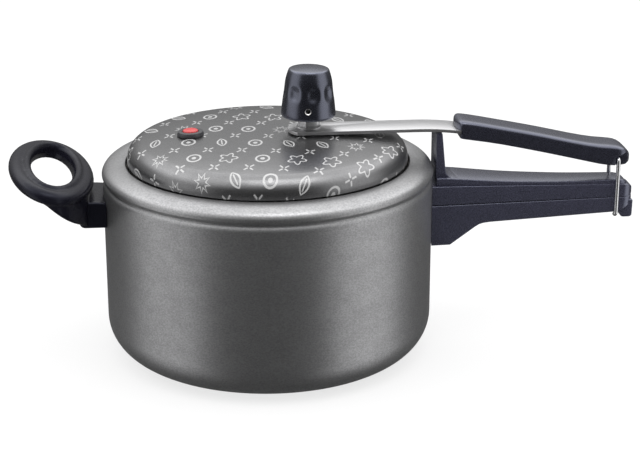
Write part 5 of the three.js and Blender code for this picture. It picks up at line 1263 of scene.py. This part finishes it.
class COOKER_OT_valve(bpy.types.Operator):
    """Makes the safety valve: a dark ring and the red button in it"""

    bl_idname = "cooker.valve"
    bl_label = "Safety valve"

    def execute(self, context):
        flange, under = FIT + 3.0, -2.3  # the collar's top, and the lid's underside
        seat, foot = flange - 1.4, under - 2.2
        collar = turned("valve_ring", [
            (4.2, foot), (7.8, foot), (8.5, foot + 0.3), (8.8, foot + 1), (8.8, under), (6.6, under),
            (6.6, FIT), (8.9, FIT), (8.9, FIT + 0.9), (8.7, FIT + 1.6), (8.2, flange - 0.3),
            (7.5, flange - 0.05), (7.0, flange), (5.9, flange), (5.5, flange - 0.35), (5.5, seat),
            (4.2, seat)], steps=72, ring=True)
        top, foot_top = flange + 1.0, foot - 3 - FIT
        crown = flowing([(5.2, top - 1.6), (5.1, top - 0.9), (4.7, top - 0.35), (3.9, top - 0.08),
                         (2.4, top + 0.07), (0, top + 0.1)], 3)
        button = turned("valve_button", [
            (0, foot_top - 1.8), (4.2, foot_top - 1.8), (5.2, foot_top - 0.8), (5.2, foot_top),
            (3.7, foot_top), (3.7, seat + FIT), (5.2, seat + FIT), *crown], steps=72)
        for piece in (collar, button):
            stand(piece, VALVE_BASE, VALVE_AXIS)
        give(collar, "collar_rubber", "lid", "dark_rubber", "valve_grommet")
        give(button, "button_rubber", "button", "button_silicone",
             "safety_button")
        return {"FINISHED"}


class COOKER_OT_stage(bpy.types.Operator):
    """Sets the floor, the soft lights, the room and the camera"""

    bl_idname = "cooker.stage"
    bl_label = "Stage"

    def execute(self, context):
        settings = context.scene.cooker_stage
        self.make_floor()
        self.make_room(context.scene, settings)
        self.make_lights(settings)
        self.make_camera(context.scene)
        context.scene.view_settings.view_transform = "Standard"
        return {"FINISHED"}

    def make_floor(self):
        """A pale floor that shows white and keeps the object's shadow, and isn't in reflections."""
        bpy.ops.mesh.primitive_circle_add(vertices=128, radius=6.0, fill_type="NGON")
        floor = bpy.context.object
        floor.name = "studio_floor"
        material = bpy.data.materials.new("floor_white")
        material.use_nodes = True
        g = Graph(material.node_tree)
        shader = material.node_tree.nodes["Principled BSDF"]
        shader.inputs["Base Color"].default_value = (0.82, 0.82, 0.82, 1)
        shader.inputs["Roughness"].default_value = 0.9
        shader.inputs["Specular IOR Level"].default_value = 0.0
        path = g.add("ShaderNodeLightPath")
        shown = g.math("MAXIMUM", path.outputs["Is Camera Ray"], path.outputs["Is Transmission Ray"])
        white = g.add("ShaderNodeEmission")
        white.inputs["Strength"].default_value = 1.0
        lit = g.add("ShaderNodeMixShader")
        g.wire(g.math("MULTIPLY", shown, 0.75), lit.inputs[0])
        g.wire(shader.outputs[0], lit.inputs[1])
        g.wire(white.outputs[0], lit.inputs[2])
        clear = g.add("ShaderNodeBsdfTransparent")
        mix = g.add("ShaderNodeMixShader")
        g.wire(path.outputs["Is Glossy Ray"], mix.inputs[0])
        g.wire(lit.outputs[0], mix.inputs[1])
        g.wire(clear.outputs[0], mix.inputs[2])
        g.wire(mix.outputs[0], material.node_tree.nodes["Material Output"].inputs["Surface"])
        floor.data.materials.append(material)

    def make_room(self, scene, settings):
        """White to the camera; to the object, a dark room with soft white panels round it."""
        world = bpy.data.worlds.new("studio_room")
        scene.world = world
        world.use_nodes = True
        g = Graph(world.node_tree)
        m = g.math
        background = world.node_tree.nodes["Background"]
        background.inputs["Color"].default_value = (1, 1, 1, 1)
        look = g.add("ShaderNodeTexCoord").outputs["Generated"]
        split = g.add("ShaderNodeSeparateXYZ")
        g.wire(look, split.inputs[0])
        x, y, z = split.outputs
        flat = m("MAXIMUM", m("SQRT", m("ADD", m("MULTIPLY", x, x), m("MULTIPLY", y, y))), 1e-4)

        def panel(bearing, near, far, level):
            """A tall panel at a bearing from +X; it fades between two angles from its middle."""
            along = Vector((math.cos(math.radians(bearing)), math.sin(math.radians(bearing))))
            facing = m("DIVIDE", m("ADD", m("MULTIPLY", x, along.x), m("MULTIPLY", y, along.y)), flat)
            glow = g.steps(facing, math.cos(math.radians(far)), math.cos(math.radians(near)))
            return m("MULTIPLY", glow, level)

        sides = m("ADD", panel(bearing=-170, near=4, far=37, level=settings.left_level),
                  panel(bearing=-20, near=5, far=37, level=settings.right_level))
        sides = m("MULTIPLY", sides, m("MULTIPLY", g.steps(z, -0.95, -0.55),
                                       g.steps(z, 0.3, 0.7, 1.0, 0.0)))
        back = m("MULTIPLY", g.steps(y, -0.1, 0.6),
                 g.steps(z, -0.12, 0.25, settings.back_level * 0.15, settings.back_level))
        top = m("MULTIPLY", m("MULTIPLY", g.steps(m("ADD", y, z), -0.75, 1.0),
                              g.steps(m("ABSOLUTE", x), 0.35, 0.75, 1.0, 1.5)),
                g.steps(z, 0.26, 0.68, 0.0, settings.top_level))
        room = m("ADD", m("ADD", sides, back), m("ADD", top, settings.room_level))
        path = g.add("ShaderNodeLightPath")
        seen = m("MAXIMUM", path.outputs["Is Camera Ray"], path.outputs["Is Transmission Ray"])
        strength = g.add("ShaderNodeMix", data_type="FLOAT")
        g.wire(seen, strength.inputs[0])
        g.wire(room, strength.inputs[2])
        strength.inputs[3].default_value = 1.0
        g.wire(strength.outputs[0], background.inputs["Strength"])

    def make_lights(self, settings):
        """One wide soft lamp over the object."""
        place, target = Vector((0.10, -0.35, 1.0)), Vector((0.03, 0.0, 0.12))
        turn = (target - place).to_track_quat("-Z", "Y").to_euler()
        bpy.ops.object.light_add(type="AREA", location=place, rotation=turn)
        lamp = bpy.context.object
        lamp.name = "overhead_lamp"
        lamp.data.shape = "RECTANGLE"
        lamp.data.size, lamp.data.size_y = 0.7, 0.5
        lamp.data.energy = settings.key_power

    def make_camera(self, scene):
        """A camera a little above the rim and a little to the left."""
        bpy.ops.object.camera_add(location=(-0.0767, -1.0946, 0.4653),
                                  rotation=(math.radians(70.73), 0, math.radians(-5.83)))
        camera = bpy.context.object
        camera.data.lens = 96.4
        camera.data.sensor_width = 36.0
        camera.data.clip_start, camera.data.clip_end = 0.01, 50.0
        scene.camera = camera


class COOKER_PT_panel(bpy.types.Panel):
    """Lists the pieces and their settings"""

    bl_idname = "COOKER_PT_panel"
    bl_label = "Pressure cooker"
    bl_space_type = "VIEW_3D"
    bl_region_type = "UI"
    bl_category = "Cooker"

    def draw(self, context):
        layout = self.layout
        for operator in OPERATORS:
            layout.operator(operator.bl_idname)
        for name, group in SETTINGS.items():
            column = layout.column(align=True)
            for field in group.__annotations__:
                column.prop(getattr(context.scene, name), field)


SETTINGS = {
    "cooker_pot": PotSettings,
    "cooker_lid": LidSettings,
    "cooker_handle": HandleSettings,
    "cooker_metal": MetalSettings,
    "cooker_stage": StageSettings,
}
OPERATORS = (
    COOKER_OT_stage, COOKER_OT_materials, COOKER_OT_pot, COOKER_OT_lid, COOKER_OT_lever,
    COOKER_OT_loop, COOKER_OT_long_handle, COOKER_OT_helper_handle, COOKER_OT_weight,
    COOKER_OT_vent, COOKER_OT_valve,
)
CLASSES = (*SETTINGS.values(), *OPERATORS, COOKER_PT_panel)


def register():
    for cls in CLASSES:
        bpy.utils.register_class(cls)
    for name, group in SETTINGS.items():
        setattr(bpy.types.Scene, name, PointerProperty(type=group))


def unregister():
    for name in SETTINGS:
        delattr(bpy.types.Scene, name)
    for cls in reversed(CLASSES):
        bpy.utils.unregister_class(cls)


def main():
    """Makes every piece in order."""
    register()
    bpy.ops.object.select_all(action="DESELECT")
    for operator in OPERATORS:
        space, name = operator.bl_idname.split(".")
        getattr(getattr(bpy.ops, space), name)()


if __name__ == "__main__":
    main()
